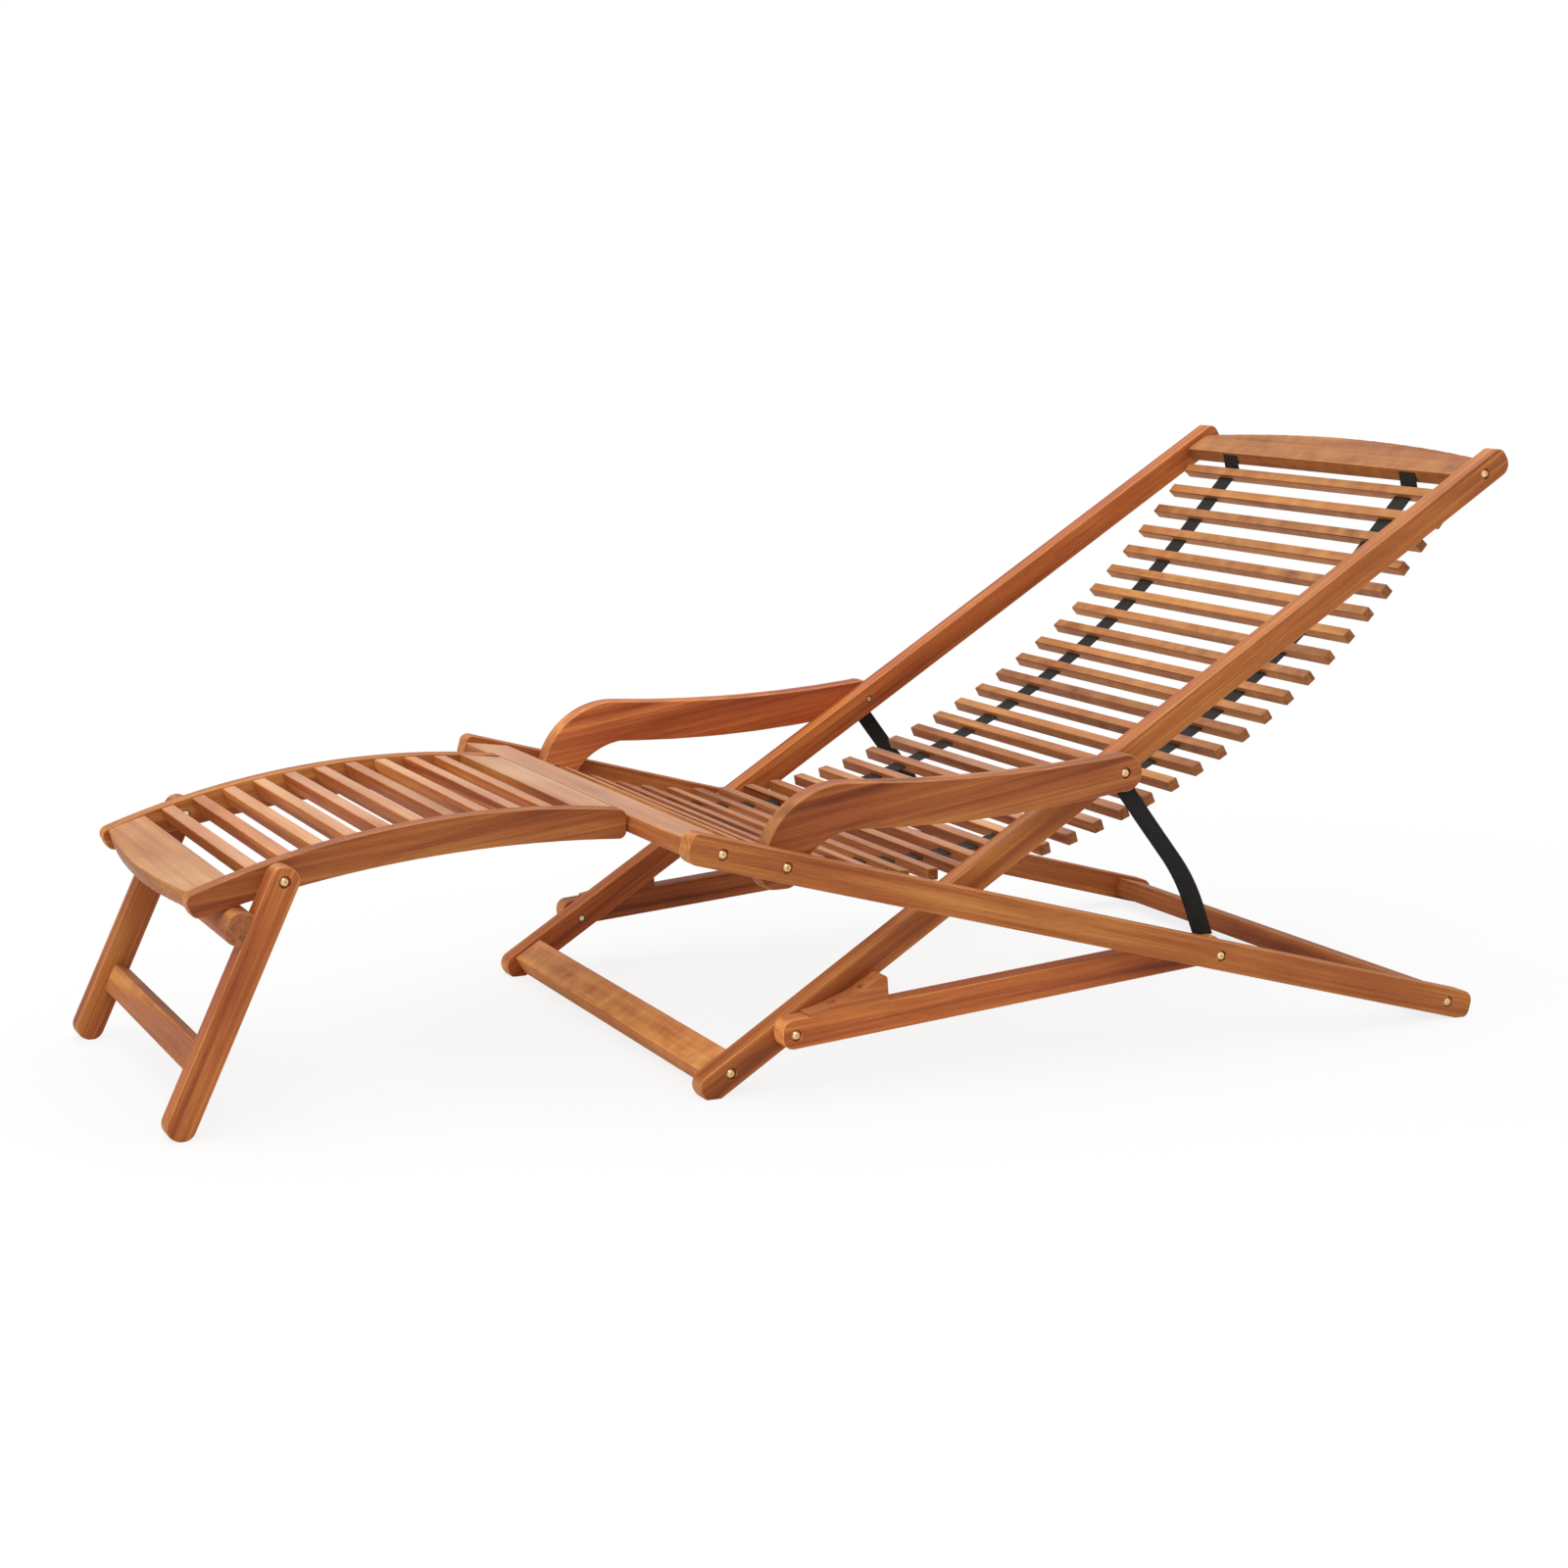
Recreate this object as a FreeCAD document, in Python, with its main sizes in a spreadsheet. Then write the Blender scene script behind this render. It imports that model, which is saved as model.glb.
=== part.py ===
import FreeCAD, Part
import math
import os
import Sketcher

# Steamer deck chair: a folding lounger of hardwood rails with a slatted sling
# and a lift-off footrest. Millimetres, +X towards the head end, +Z up,
# origin on the floor under the middle of the chair.

V = FreeCAD.Vector
os.makedirs("parts", exist_ok=True)
doc = FreeCAD.newDocument("deck_chair")
sheet = doc.addObject("Spreadsheet::Sheet", "Dims")

# Driving sizes: name, value, what it is
SIZES = [
    ("overall_width", 700, "over the outer faces of the seat rails"),
    ("board", 24, "thickness of every rail, arm, strut and leg"),
    ("layer_gap", 0.5, "washer gap between boards that swing past each other"),
    ("edge_round", 1.5, "worn round on the board edges"),
    ("fit", 0.05, "radial clearance of a bolt or pin in its hole"),
    ("soft_gap", 0.4, "gap between webbing and wood"),
    ("seat_slope", 15.23, "fall of the seat rails towards the back, degrees"),
    ("seat_height", 32, "height of a seat rail"),
    ("plank_bolt_x", -229.16, "front plank bolt from the origin"),
    ("plank_bolt_z", 262.7, "front plank bolt above the floor"),
    ("arm_hole", 72.7, "arm pivot behind the plank bolt along the seat rail"),
    ("strut_hole", 608.8, "strut pivot behind the plank bolt"),
    ("rear_bolt", 926.3, "rear crossbar bolt behind the plank bolt"),
    ("seat_nose", 37.5, "seat rail ahead of the plank bolt"),
    ("seat_tail", 32, "seat rail behind the rear bolt"),
    ("seat_end_round", 12, "round of the seat rail ends"),
    ("seat_nose_round", 9, "round of the upper front corner"),
    ("back_slope", 32.32, "rise of the back rails, degrees"),
    ("back_height", 30, "height of a back rail"),
    ("back_bolt_behind", 30.4, "lower back bolt behind the plank bolt"),
    ("back_bolt_z", 24.2, "lower back bolt above the floor"),
    ("strut_pin", 73.1, "strut pivot up the back rail"),
    ("arm_pin", 528.5, "arm pivot up the back rail"),
    ("head_bolt", 1093, "headrest bolt up the back rail"),
    ("back_foot", 37, "back rail below its lower bolt"),
    ("back_tip", 34, "back rail above the headrest bolt"),
    ("back_end_round", 14, "round of the back rail ends"),
    ("back_tip_round", 9.8, "round of the upper corner at the head end"),
    ("strut_height", 31, "height of a strut"),
    ("strut_lift", 1.5, "strut centre line above its two pivots"),
    ("strut_end", 15, "strut beyond each pivot"),
    ("strut_end_round", 12, "round of the strut ends"),
    ("arm_nose", 20.3, "radius of the arm nose about its pivot"),
    ("arm_top_radius", 1775, "hollow of the arm top"),
    ("arm_front_radius", 94, "radius of the arm's front shoulder"),
    ("arm_neck_radius", 80, "radius under the arm shoulder"),
    ("arm_low_radius", 1553, "bow of the arm underside"),
    ("arm_shoulder_ahead", 90.5, "end of the shoulder along the arm"),
    ("arm_shoulder_rise", 63.8, "shoulder above the line of the arm pivots"),
    ("arm_foot_round", 16, "round of the arm foot corners"),
    ("arm_tip_ahead", 3, "end of the hollow top ahead of the nose pivot"),
    ("arm_tip_dip", 0.22, "that end below the nose radius"),
    ("arm_toe_ahead", 18.54, "upper front corner of the arm foot ahead of its pivot"),
    ("arm_toe_drop", 1.53, "that corner below the line of the pivots"),
    ("arm_heel_ahead", 24.97, "lower front corner of the arm foot"),
    ("arm_heel_drop", 23.81, "that corner below the line of the pivots"),
    ("arm_sole_behind", 17.54, "lower rear corner of the arm foot"),
    ("arm_sole_drop", 30.29, "that corner below the line of the pivots"),
    ("arm_calf_behind", 29.21, "start of the neck curve"),
    ("arm_calf_drop", 6.78, "that point below the line of the pivots"),
    ("arm_neck_behind", 87.1, "end of the neck curve"),
    ("arm_neck_rise", 14.75, "that point above the line of the pivots"),
    ("arm_chin_ahead", 7, "end of the underside ahead of the nose pivot"),
    ("arm_chin_drop", 19.05, "that point below the line of the pivots"),
    ("block_start", 16, "low tip of the stop block behind the strut pivot"),
    ("block_length", 90.5, "length of the stop block"),
    ("block_tip", 1.8, "thickness of the low tip"),
    ("block_rise", 30.8, "height of the high end"),
    ("block_hollow", 224, "hollow of the sloping face"),
    ("block_end_round", 4, "round of the high corner"),
    ("block_screw_first", 46, "first screw behind the strut pivot"),
    ("block_screw_last", 81, "second screw"),
    ("block_sink", 8, "screw heads above the strut"),
    ("crossbar_width", 37, "lower and rear crossbars along the rails"),
    ("crossbar_thick", 24, "thickness of both crossbars"),
    ("crossbar_lead", 21, "crossbar edge ahead of its bolt"),
    ("plank_slope", 8, "fall of the seat front plank, degrees"),
    ("plank_thick", 18, "thickness of the seat front plank"),
    ("plank_width", 52, "front to back at the rails"),
    ("plank_bow", 5, "forward bow of the front edge"),
    ("plank_edge_behind", 18.2, "rear top edge behind the plank bolt"),
    ("plank_edge_above", 9, "rear top edge above the plank bolt"),
    ("head_low", 17.5, "headrest below its bolt"),
    ("head_high", 16, "headrest above its bolt at the rails"),
    ("head_crown", 17.5, "extra height in the middle"),
    ("head_thick", 17, "thickness of the headrest"),
    ("foot_half", 197, "half width over the footrest rails"),
    ("foot_board", 19, "thickness of the footrest rails"),
    ("leg_pivot_ahead", 405.3, "leg pivot ahead of the plank bolt"),
    ("leg_pivot_drop", 16.6, "leg pivot below the plank bolt"),
    ("foot_top_radius", 952.8, "radius of the footrest top"),
    ("foot_top_behind", 240, "centre of that radius behind the leg pivot"),
    ("foot_low_radius", 1328.6, "radius of the rail underside"),
    ("foot_low_behind", 268.9, "centre of that radius behind the leg pivot"),
    ("foot_low_drop", 1316.2, "centre of that radius below the leg pivot"),
    ("foot_top_drop", 905.1, "centre of the top radius below the leg pivot"),
    ("foot_front", 94, "top front corner ahead of the leg pivot"),
    ("foot_front_low", 83.5, "lower front corner ahead of the leg pivot"),
    ("foot_rear", 365, "rear end behind the leg pivot"),
    ("foot_front_round", 9, "round of the front end"),
    ("foot_rear_round", 8, "round of the rear end"),
    ("foot_slat_width", 14, "width of a footrest slat"),
    ("foot_slat_height", 15, "height of a footrest slat"),
    ("foot_slat_end", 8.5, "height of its tapered ends at the rails"),
    ("foot_slat_run", 40, "length of the curved taper"),
    ("foot_slat_round", 1.5, "round of its long upper edges"),
    ("foot_slat_drop", 2, "slat top below the rail top"),
    ("foot_slat_first", -15.87, "angle of the first slat, degrees"),
    ("foot_slat_step", 2.0965, "angle between slats, degrees"),
    ("foot_plank_thick", 20, "thickness of the footrest planks"),
    ("front_plank_angle", -17.45, "rear edge of the front plank, degrees"),
    ("front_plank_width", 42, "front plank at the rails"),
    ("front_plank_bow", 12, "forward bow of the front plank"),
    ("rear_plank_angle", 7.57, "rear edge of the rear plank, degrees"),
    ("rear_plank_width", 52, "rear plank front to back"),
    ("leg_tilt", 114.9, "turn of the legs from level, degrees"),
    ("leg_height", 30, "width of a leg"),
    ("leg_foot", 270, "end of the leg from its pivot"),
    ("leg_round", 14, "round of the leg ends"),
    ("leg_bar_start", 181.5, "leg crossbar from the pivot"),
    ("leg_bar_length", 30, "leg crossbar along the leg"),
    ("leg_bar_thick", 18, "leg crossbar thickness"),
    ("stop_start", 40.5, "stop bar from the pivot"),
    ("stop_length", 34, "stop bar along the leg"),
    ("stop_thick", 21, "stop bar ahead of the leg"),
    ("stop_round", 12, "round of the stop bar"),
    ("stop_sink", 0.5, "stop bar screw heads below the surface"),
    ("slat", 12.5, "side of a sling slat"),
    ("slat_gap", 5, "gap from a slat end to the back rail"),
    ("slat_chamfer", 0.8, "chamfer of a sling slat"),
    ("slat_step", 33.883, "spacing of the sling slats along the sling"),
    ("sling_start_x", 70.7, "first slat's upper front edge behind the plank bolt"),
    ("sling_start_drop", 12.3, "that edge below the plank bolt"),
    ("sling_start_fall", 21.4, "fall of the sling at its first slat, degrees"),
    ("sling_hip_radius", 566.6, "radius of the sling under the hips"),
    ("sling_hip_length", 377.7, "length of that stretch"),
    ("sling_back_radius", 915.7, "radius of the sling under the back"),
    ("sling_back_length", 504, "length of that stretch"),
    ("web_width", 30, "width of the sling webbing"),
    ("web_thick", 1.6, "thickness of the webbing"),
    ("web_offset", 181, "webbing from the middle of the chair"),
    ("web_exit_depth", 7.56, "webbing leaves the plank this far below its top"),
    ("slot_depth", 10, "depth of the webbing slots in plank and headrest"),
    ("slot_overrun", 5, "slot tools reach past the wood"),
    ("web_entry_rise", 4.5, "webbing slots in the headrest above its middle plane"),
    ("web_bend_after", 1, "webbing bends to the headrest this far past the last slat"),
    ("web_end_gap", 0.95, "gap of the slanting webbing end to the headrest"),
    ("web_knee_gap", 2.4, "gap between the two webbing lengths at the knee of the sling"),
    ("strap_width", 21, "width of the side strap"),
    ("strap_behind", 2.5, "top of the side strap behind the arm's nose pivot"),
    ("strap_top_gap", 0.6, "gap of the slanting strap end to the arm"),
    ("strap_bow", 13.5, "corner of the slack strap off its straight line"),
    ("strap_bow_place", 0.68, "that corner along the strap, of its length"),
    ("strap_bend_start", 0.48, "start of the bend round that corner"),
    ("strap_bend_end", 0.88, "end of the bend"),
    ("bolt_radius", 3, "M6 bolt shank"),
    ("bolt_head", 5.25, "radius of the button head"),
    ("bolt_head_high", 3.2, "height of the button head"),
    ("bolt_crown", 3.15, "radius of the flat top of the button head"),
    ("bolt_key", 2.31, "hexagon key recess across corners, half"),
    ("key_depth", 2.4, "depth of that recess"),
    ("sink_radius", 6.25, "counterbore of a bolt head"),
    ("sink_depth", 4.2, "depth of the counterbore"),
    ("nut_radius", 4.5, "outside radius of the sleeve nut"),
    ("nut_length", 5, "length of the sleeve nut"),
    ("nut_inset", 1, "nut and bolt tip below the wood's face"),
    ("stud_gap", 0.1, "gap between the two halves of the strut pivot"),
    ("overrun", 1, "cutting tools reach past a face"),
    ("end_thread", 45, "bolt length inside a plank end"),
    ("screw_radius", 1.75, "wood screw shank"),
    ("screw_head", 3.5, "wood screw head radius"),
    ("screw_length", 34, "wood screw length"),
    ("screw_cone", 3, "height of the countersunk head"),
    ("screw_clear", 0.2, "clearance round a screw head"),
    ("locating_radius", 2.5, "steel pin that holds the footrest"),
    ("locating_half", 110, "pin from the middle of the chair"),
    ("locating_rise", 9.3, "pin above the plank bolt"),
    ("locating_reach", 19, "pin length on each side of the joint"),
]
for row, (name, value, meaning) in enumerate(SIZES, start=1):
    sheet.set("A%d" % row, meaning)
    sheet.set("B%d" % row, str(value))
    sheet.setAlias("B%d" % row, name)

# Derived positions, written from the driving sizes
DERIVED = [
    ("seat_out", "overall_width / 2"),
    ("seat_in", "seat_out - board"),
    ("arm_out", "seat_in - layer_gap"),
    ("arm_in", "arm_out - board"),
    ("back_out", "arm_in - layer_gap"),
    ("back_in", "back_out - board"),
    ("slat_half", "back_in - slat_gap"),
    ("foot_in", "foot_half - foot_board"),
    ("leg_in", "foot_half + layer_gap"),
    ("leg_out", "leg_in + board"),
    ("hole_radius", "bolt_radius + fit"),
    ("arm_foot_x", "plank_bolt_x + arm_hole * cos(seat_slope)"),
    ("arm_foot_z", "plank_bolt_z - arm_hole * sin(seat_slope)"),
    ("strut_rear_x", "plank_bolt_x + strut_hole * cos(seat_slope)"),
    ("strut_rear_z", "plank_bolt_z - strut_hole * sin(seat_slope)"),
    ("rear_x", "plank_bolt_x + rear_bolt * cos(seat_slope)"),
    ("rear_z", "plank_bolt_z - rear_bolt * sin(seat_slope)"),
    ("back_x", "plank_bolt_x + back_bolt_behind"),
    ("strut_front_x", "back_x + strut_pin * cos(back_slope)"),
    ("strut_front_z", "back_bolt_z + strut_pin * sin(back_slope)"),
    ("arm_nose_x", "back_x + arm_pin * cos(back_slope)"),
    ("arm_nose_z", "back_bolt_z + arm_pin * sin(back_slope)"),
    ("head_x", "back_x + head_bolt * cos(back_slope)"),
    ("head_z", "back_bolt_z + head_bolt * sin(back_slope)"),
    ("arm_run", "arm_nose_x - arm_foot_x"),
    ("arm_climb", "arm_nose_z - arm_foot_z"),
    ("arm_length", "sqrt(arm_run * arm_run + arm_climb * arm_climb)"),
    ("arm_angle", "atan(arm_climb / arm_run)"),
    ("strut_run", "strut_rear_x - strut_front_x"),
    ("strut_climb", "strut_rear_z - strut_front_z"),
    ("strut_length", "sqrt(strut_run * strut_run + strut_climb * strut_climb)"),
    ("strut_angle", "atan(strut_climb / strut_run)"),
    ("leg_x", "plank_bolt_x - leg_pivot_ahead"),
    ("leg_z", "plank_bolt_z - leg_pivot_drop"),
    ("foot_arc_x", "leg_x + foot_top_behind"),
    ("foot_arc_z", "leg_z - foot_top_drop"),
    ("foot_slat_arc", "foot_top_radius - foot_slat_drop"),
    ("foot_slat_rise", "foot_slat_height - foot_slat_end"),
    ("foot_slat_curve", "(foot_slat_run^2 + foot_slat_rise^2) / (2 * foot_slat_rise)"),
    ("foot_top_front_z", "sqrt(foot_top_radius^2 - (foot_front + foot_top_behind)^2) - foot_top_drop"),
    ("foot_top_rear_z", "sqrt(foot_top_radius^2 - (foot_rear - foot_top_behind)^2) - foot_top_drop"),
    ("foot_low_front_z", "sqrt(foot_low_radius^2 - (foot_front_low + foot_low_behind)^2) - foot_low_drop"),
    ("foot_low_rear_z", "sqrt(foot_low_radius^2 - (foot_rear - foot_low_behind)^2) - foot_low_drop"),
    ("head_curve", "(back_in^2 + head_crown^2) / (2 * head_crown)"),
    ("plank_curve", "(seat_in^2 + plank_bow^2) / (2 * plank_bow)"),
    ("front_plank_curve", "(foot_in^2 + front_plank_bow^2) / (2 * front_plank_bow)"),
    ("plank_x", "plank_bolt_x + plank_edge_behind"),
    ("plank_z", "plank_bolt_z + plank_edge_above"),
    ("locating_z", "plank_bolt_z + locating_rise"),
    ("joint_x", "leg_x + foot_rear"),
]
for row, (name, formula) in enumerate(DERIVED, start=1):
    sheet.set("D%d" % row, name.replace("_", " "))
    sheet.set("E%d" % row, "=" + formula)
    sheet.setAlias("E%d" % row, name)
doc.recompute()


trial = doc.addObject("Spreadsheet::Sheet", "Trial")
known = {}


# Expressions name sheet sizes in braces: one text gives the binding and its first value
def bound(text):
    return text.replace("{", "Dims.").replace("}", "")


def number(text):
    if text not in known:
        trial.set("A1", "=" + bound(text))
        trial.recompute()
        known[text] = float(trial.get("A1"))
    return known[text]


def bind(thing, **sizes):
    for name, text in sizes.items():
        thing.setExpression(name, bound(text))


def minus(text):
    return "-(%s)" % text


def span(side, low, high):
    if side > 0:
        return low, high
    return minus(high), minus(low)


# A frame is an origin in the side view and a turn about the cross axis
def place(thing, frame, y="0"):
    x, z, sense, angle = frame
    thing.Placement = FreeCAD.Placement(
        V(number(x), number(y), number(z)),
        FreeCAD.Rotation(V(0, sense, 0), number(angle)))
    thing.setExpression("Placement.Base.x", bound(x))
    thing.setExpression("Placement.Base.y", bound(y))
    thing.setExpression("Placement.Base.z", bound(z))
    thing.setExpression("Placement.Rotation.Angle", bound(angle))


def along(frame, run, rise="0"):
    x, z, sense, angle = frame
    new_x = "%s + (%s) * cos(%s) + (%d) * (%s) * sin(%s)" % (x, run, angle, sense, rise, angle)
    new_z = "%s - (%d) * (%s) * sin(%s) + (%s) * cos(%s)" % (z, sense, run, angle, rise, angle)
    return new_x, new_z, sense, angle


SEAT = ("{plank_bolt_x}", "{plank_bolt_z}", 1, "{seat_slope}")
REAR = ("{rear_x}", "{rear_z}", 1, "{seat_slope}")
BACK = ("{back_x}", "{back_bolt_z}", -1, "{back_slope}")
HEAD = ("{head_x}", "{head_z}", -1, "{back_slope}")
ARM = ("{arm_foot_x}", "{arm_foot_z}", -1, "{arm_angle}")
STRUT = ("{strut_front_x}", "{strut_front_z}", -1, "{strut_angle}")
PLANK = ("{plank_x}", "{plank_z}", 1, "{plank_slope}")
LEG = ("{leg_x}", "{leg_z}", 1, "{leg_tilt}")
LEVEL = "360"


def origin_plane(body, role):
    return [plane for plane in body.Origin.OriginFeatures if plane.Role == role][0]


# A closed outline in a body's own plane. Each corner is two bound coordinates,
# with the radius of the edge that follows it: plus bows out, minus hollows in
def outline(body, role, corners):
    sketch = body.newObject("Sketcher::SketchObject", body.Name + "_outline")
    sketch.AttachmentSupport = (origin_plane(body, role), "")
    sketch.MapMode = "FlatFace"
    points = [V(number(c[0]), number(c[1]), 0) for c in corners]
    ends = []
    for index, corner in enumerate(corners):
        start = points[index]
        finish = points[(index + 1) % len(points)]
        if len(corner) == 2:
            geo = sketch.addGeometry(Part.LineSegment(start, finish), False)
            ends.append((geo, 1, 2))
            continue
        radius = number(corner[2])
        bow = corner[3]
        chord = finish - start
        middle = (start + finish) * 0.5
        left = V(-chord.y, chord.x, 0).normalize()
        reach = math.sqrt(radius ** 2 - (chord.Length / 2) ** 2)
        centre = middle + left * (reach * bow)
        first, last = (start, finish) if bow > 0 else (finish, start)
        turn_a = math.atan2(first.y - centre.y, first.x - centre.x)
        turn_b = math.atan2(last.y - centre.y, last.x - centre.x)
        circle = Part.Circle(centre, V(0, 0, 1), radius)
        geo = sketch.addGeometry(Part.ArcOfCircle(circle, turn_a, turn_b), False)
        ends.append((geo, 1, 2) if bow > 0 else (geo, 2, 1))
    for index, corner in enumerate(corners):
        geo, start, finish = ends[index]
        next_geo, next_start, unused = ends[(index + 1) % len(ends)]
        sketch.addConstraint(Sketcher.Constraint("Coincident", geo, finish, next_geo, next_start))
        for kind, axis, value, text in (
                ("DistanceX", -2, points[index].x, corner[0]),
                ("DistanceY", -1, points[index].y, corner[1])):
            if abs(value) < 1e-6:
                sketch.addConstraint(Sketcher.Constraint("PointOnObject", geo, start, axis))
                continue
            item = sketch.addConstraint(Sketcher.Constraint(kind, -1, 1, geo, start, value))
            sketch.setExpression("Constraints[%d]" % item, bound(text))
        if len(corner) > 2:
            item = sketch.addConstraint(Sketcher.Constraint("Radius", geo, number(corner[2])))
            sketch.setExpression("Constraints[%d]" % item, bound(corner[2]))
    return sketch


def edges_through(shape, test):
    return ["Edge%d" % (index + 1) for index, edge in enumerate(shape.Edges) if test(edge)]


def round_edges(body, feature, names, radius, label):
    fillet = body.newObject("PartDesign::Fillet", label)
    fillet.Base = (feature, names)
    fillet.Radius = number(radius)
    bind(fillet, Radius=radius)
    body.Tip = fillet
    doc.recompute()
    return fillet


# Rounds the corner edges that run across the outline at the given corners
def round_corners(body, feature, axis, corners, radius, label):
    targets = [(number(c[0]), number(c[1])) for c in corners]

    def at_corner(edge):
        if len(edge.Vertexes) != 2:
            return False
        ends = [v.Point for v in edge.Vertexes]
        flat = [(p.x, p.z) if axis == "XZ_Plane" else (p.x, p.y) for p in ends]
        return any(all(math.hypot(f[0] - t[0], f[1] - t[1]) < 0.05 for f in flat) for t in targets)

    return round_edges(body, feature, edges_through(feature.Shape, at_corner), radius, label)


def rim_edges(shape, axis, levels):
    def on_rim(edge):
        values = [getattr(p, axis) for p in edge.discretize(3)]
        return any(max(abs(v - level) for v in values) < 0.01 for level in levels)

    return edges_through(shape, on_rim)


# A board cut to an outline in the side view, with rounded corners and rims
def board(name, frame, y, thickness, corners, rounds, rim="{edge_round}"):
    body = doc.addObject("PartDesign::Body", name)
    sketch = outline(body, "XZ_Plane", corners)
    pad = body.newObject("PartDesign::Pad", name + "_pad")
    pad.Profile = sketch
    pad.Reversed = True
    pad.Length = number(thickness)
    bind(pad, Length=thickness)
    body.Tip = pad
    doc.recompute()
    last = pad
    for index, (which, radius) in enumerate(rounds):
        last = round_corners(body, last, "XZ_Plane", [corners[k] for k in which], radius,
                             "%s_round_%d" % (name, index))
    if rim:
        names = rim_edges(last.Shape, "y", (0, number(thickness)))
        last = round_edges(body, last, names, rim, name + "_rim")
    place(body, frame, y)
    return body


# A plank drawn in plan, of even thickness below its own top plane
def plank(name, frame, thickness, corners, lift="0", rim="{edge_round}"):
    body = doc.addObject("PartDesign::Body", name)
    sketch = outline(body, "XY_Plane", corners)
    pad = body.newObject("PartDesign::Pad", name + "_pad")
    pad.Profile = sketch
    pad.Reversed = True
    pad.Length = number(thickness)
    bind(pad, Length=thickness)
    body.Tip = pad
    doc.recompute()
    names = rim_edges(pad.Shape, "z", (0, -number(thickness)))
    round_edges(body, pad, names, rim, name + "_rim")
    place(body, along(frame, "0", lift))
    return body


# A straight bar between two faces
def bar(name, frame, run, rise, y, length, width, height, ends="{edge_round}"):
    body = doc.addObject("PartDesign::Body", name)
    block = body.newObject("PartDesign::AdditiveBox", name + "_block")
    for key, text in (("Length", length), ("Width", width), ("Height", height)):
        setattr(block, key, number(text))
        block.setExpression(key, bound(text))
    body.Tip = block
    doc.recompute()
    names = edges_through(block.Shape, lambda edge: True)
    round_edges(body, block, names, ends, name + "_rim")
    place(body, along(frame, run, rise), y)
    return body


# Round tool or pin along the cross axis between two stations
def rod(name, frame, low, high, radius):
    pin = doc.addObject("Part::Cylinder", name)
    height = "(%s) - (%s)" % (high, low)
    pin.Radius = number(radius)
    pin.Height = number(height)
    bind(pin, Radius=radius, Height=height)
    pin.Placement = FreeCAD.Placement(V(number(frame[0]), number(low), number(frame[1])),
                                      FreeCAD.Rotation(V(-1, 0, 0), 90))
    pin.setExpression("Placement.Base.x", bound(frame[0]))
    pin.setExpression("Placement.Base.y", bound(low))
    pin.setExpression("Placement.Base.z", bound(frame[1]))
    return pin


def block_tool(name, frame, run, rise, y, length, width, height):
    tool = doc.addObject("Part::Box", name)
    for key, text in (("Length", length), ("Width", width), ("Height", height)):
        setattr(tool, key, number(text))
        tool.setExpression(key, bound(text))
    place(tool, along(frame, run, rise), y)
    return tool


def joined(name, things):
    if len(things) == 1:
        return things[0]
    group = doc.addObject("Part::MultiFuse", name)
    group.Shapes = things
    return group


nodes = []


def keep(label, thing):
    thing.Label = label
    nodes.append(thing)
    return thing


def cut(label, base, tools):
    result = doc.addObject("Part::Cut", label + "_cut")
    result.Base = base
    result.Tool = joined(label + "_tools", tools)
    return keep(label, result)


def group(label, things):
    bundle = doc.addObject("Part::Compound", label + "_group")
    bundle.Links = things
    return keep(label, bundle)


SIDES = (("left", 1), ("right", -1))

FLOOR_BLOCK = V(3000, 1500, 200)


# Everything below the floor is trimmed away, which leaves the flats of the feet
def floor_cut(label):
    tool = doc.addObject("Part::Box", label + "_floor")
    tool.Length = FLOOR_BLOCK.x
    tool.Width = FLOOR_BLOCK.y
    tool.Height = FLOOR_BLOCK.z
    tool.Placement.Base = V(-FLOOR_BLOCK.x / 2, -FLOOR_BLOCK.y / 2, -FLOOR_BLOCK.z)
    return tool


def pivot(run, frame):
    return along(frame, run)


# Holes for the bolts: a through hole and a counterbore in the face on one side
def bolt_hole(name, spot, side, low, high, sink_out=False, sink_in=False):
    a, b = span(side, low + " - {overrun}", high + " + {overrun}")
    tools = [rod(name + "_hole", spot, a, b, "{hole_radius}")]
    if sink_out:
        a, b = span(side, high + " - {sink_depth}", high + " + {overrun}")
        tools.append(rod(name + "_sink", spot, a, b, "{sink_radius}"))
    if sink_in:
        a, b = span(side, low + " - {overrun}", low + " + {nut_length} + {nut_inset}")
        tools.append(rod(name + "_seat", spot, a, b, "{nut_radius} + {fit}"))
    return tools


# A button head bolt with its head under one face and a sleeve nut at the other
def bolt(name, spot, side, face, tip, nut_face=None):
    head_low = "%s - {sink_depth}" % face
    a, b = span(side, tip, head_low)
    shank = rod(name + "_shank", spot, a, b, "{bolt_radius}")
    a, b = span(side, head_low, head_low + " + {bolt_head_high} / 2")
    rim = rod(name + "_head", spot, a, b, "{bolt_head}")
    crown = doc.addObject("Part::Cone", name + "_crown")
    bind(crown, Radius1="{bolt_head}", Radius2="{bolt_crown}", Height="{bolt_head_high} / 2")
    key = doc.addObject("Part::Prism", name + "_key")
    key.Polygon = 6
    bind(key, Circumradius="{bolt_key}", Height="{bolt_head_high}")
    for part, level in ((crown, head_low + " + {bolt_head_high} / 2"),
                        (key, head_low + " + {bolt_head_high} - {key_depth}")):
        y = level if side > 0 else minus(level)
        part.Placement = FreeCAD.Placement(V(number(spot[0]), number(y), number(spot[1])),
                                           FreeCAD.Rotation(V(-side, 0, 0), 90))
        part.setExpression("Placement.Base.x", bound(spot[0]))
        part.setExpression("Placement.Base.y", bound(y))
        part.setExpression("Placement.Base.z", bound(spot[1]))
    solid = joined(name + "_solid", [shank, rim, crown])
    result = doc.addObject("Part::Cut", name)
    result.Base = solid
    result.Tool = key
    return result


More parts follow.
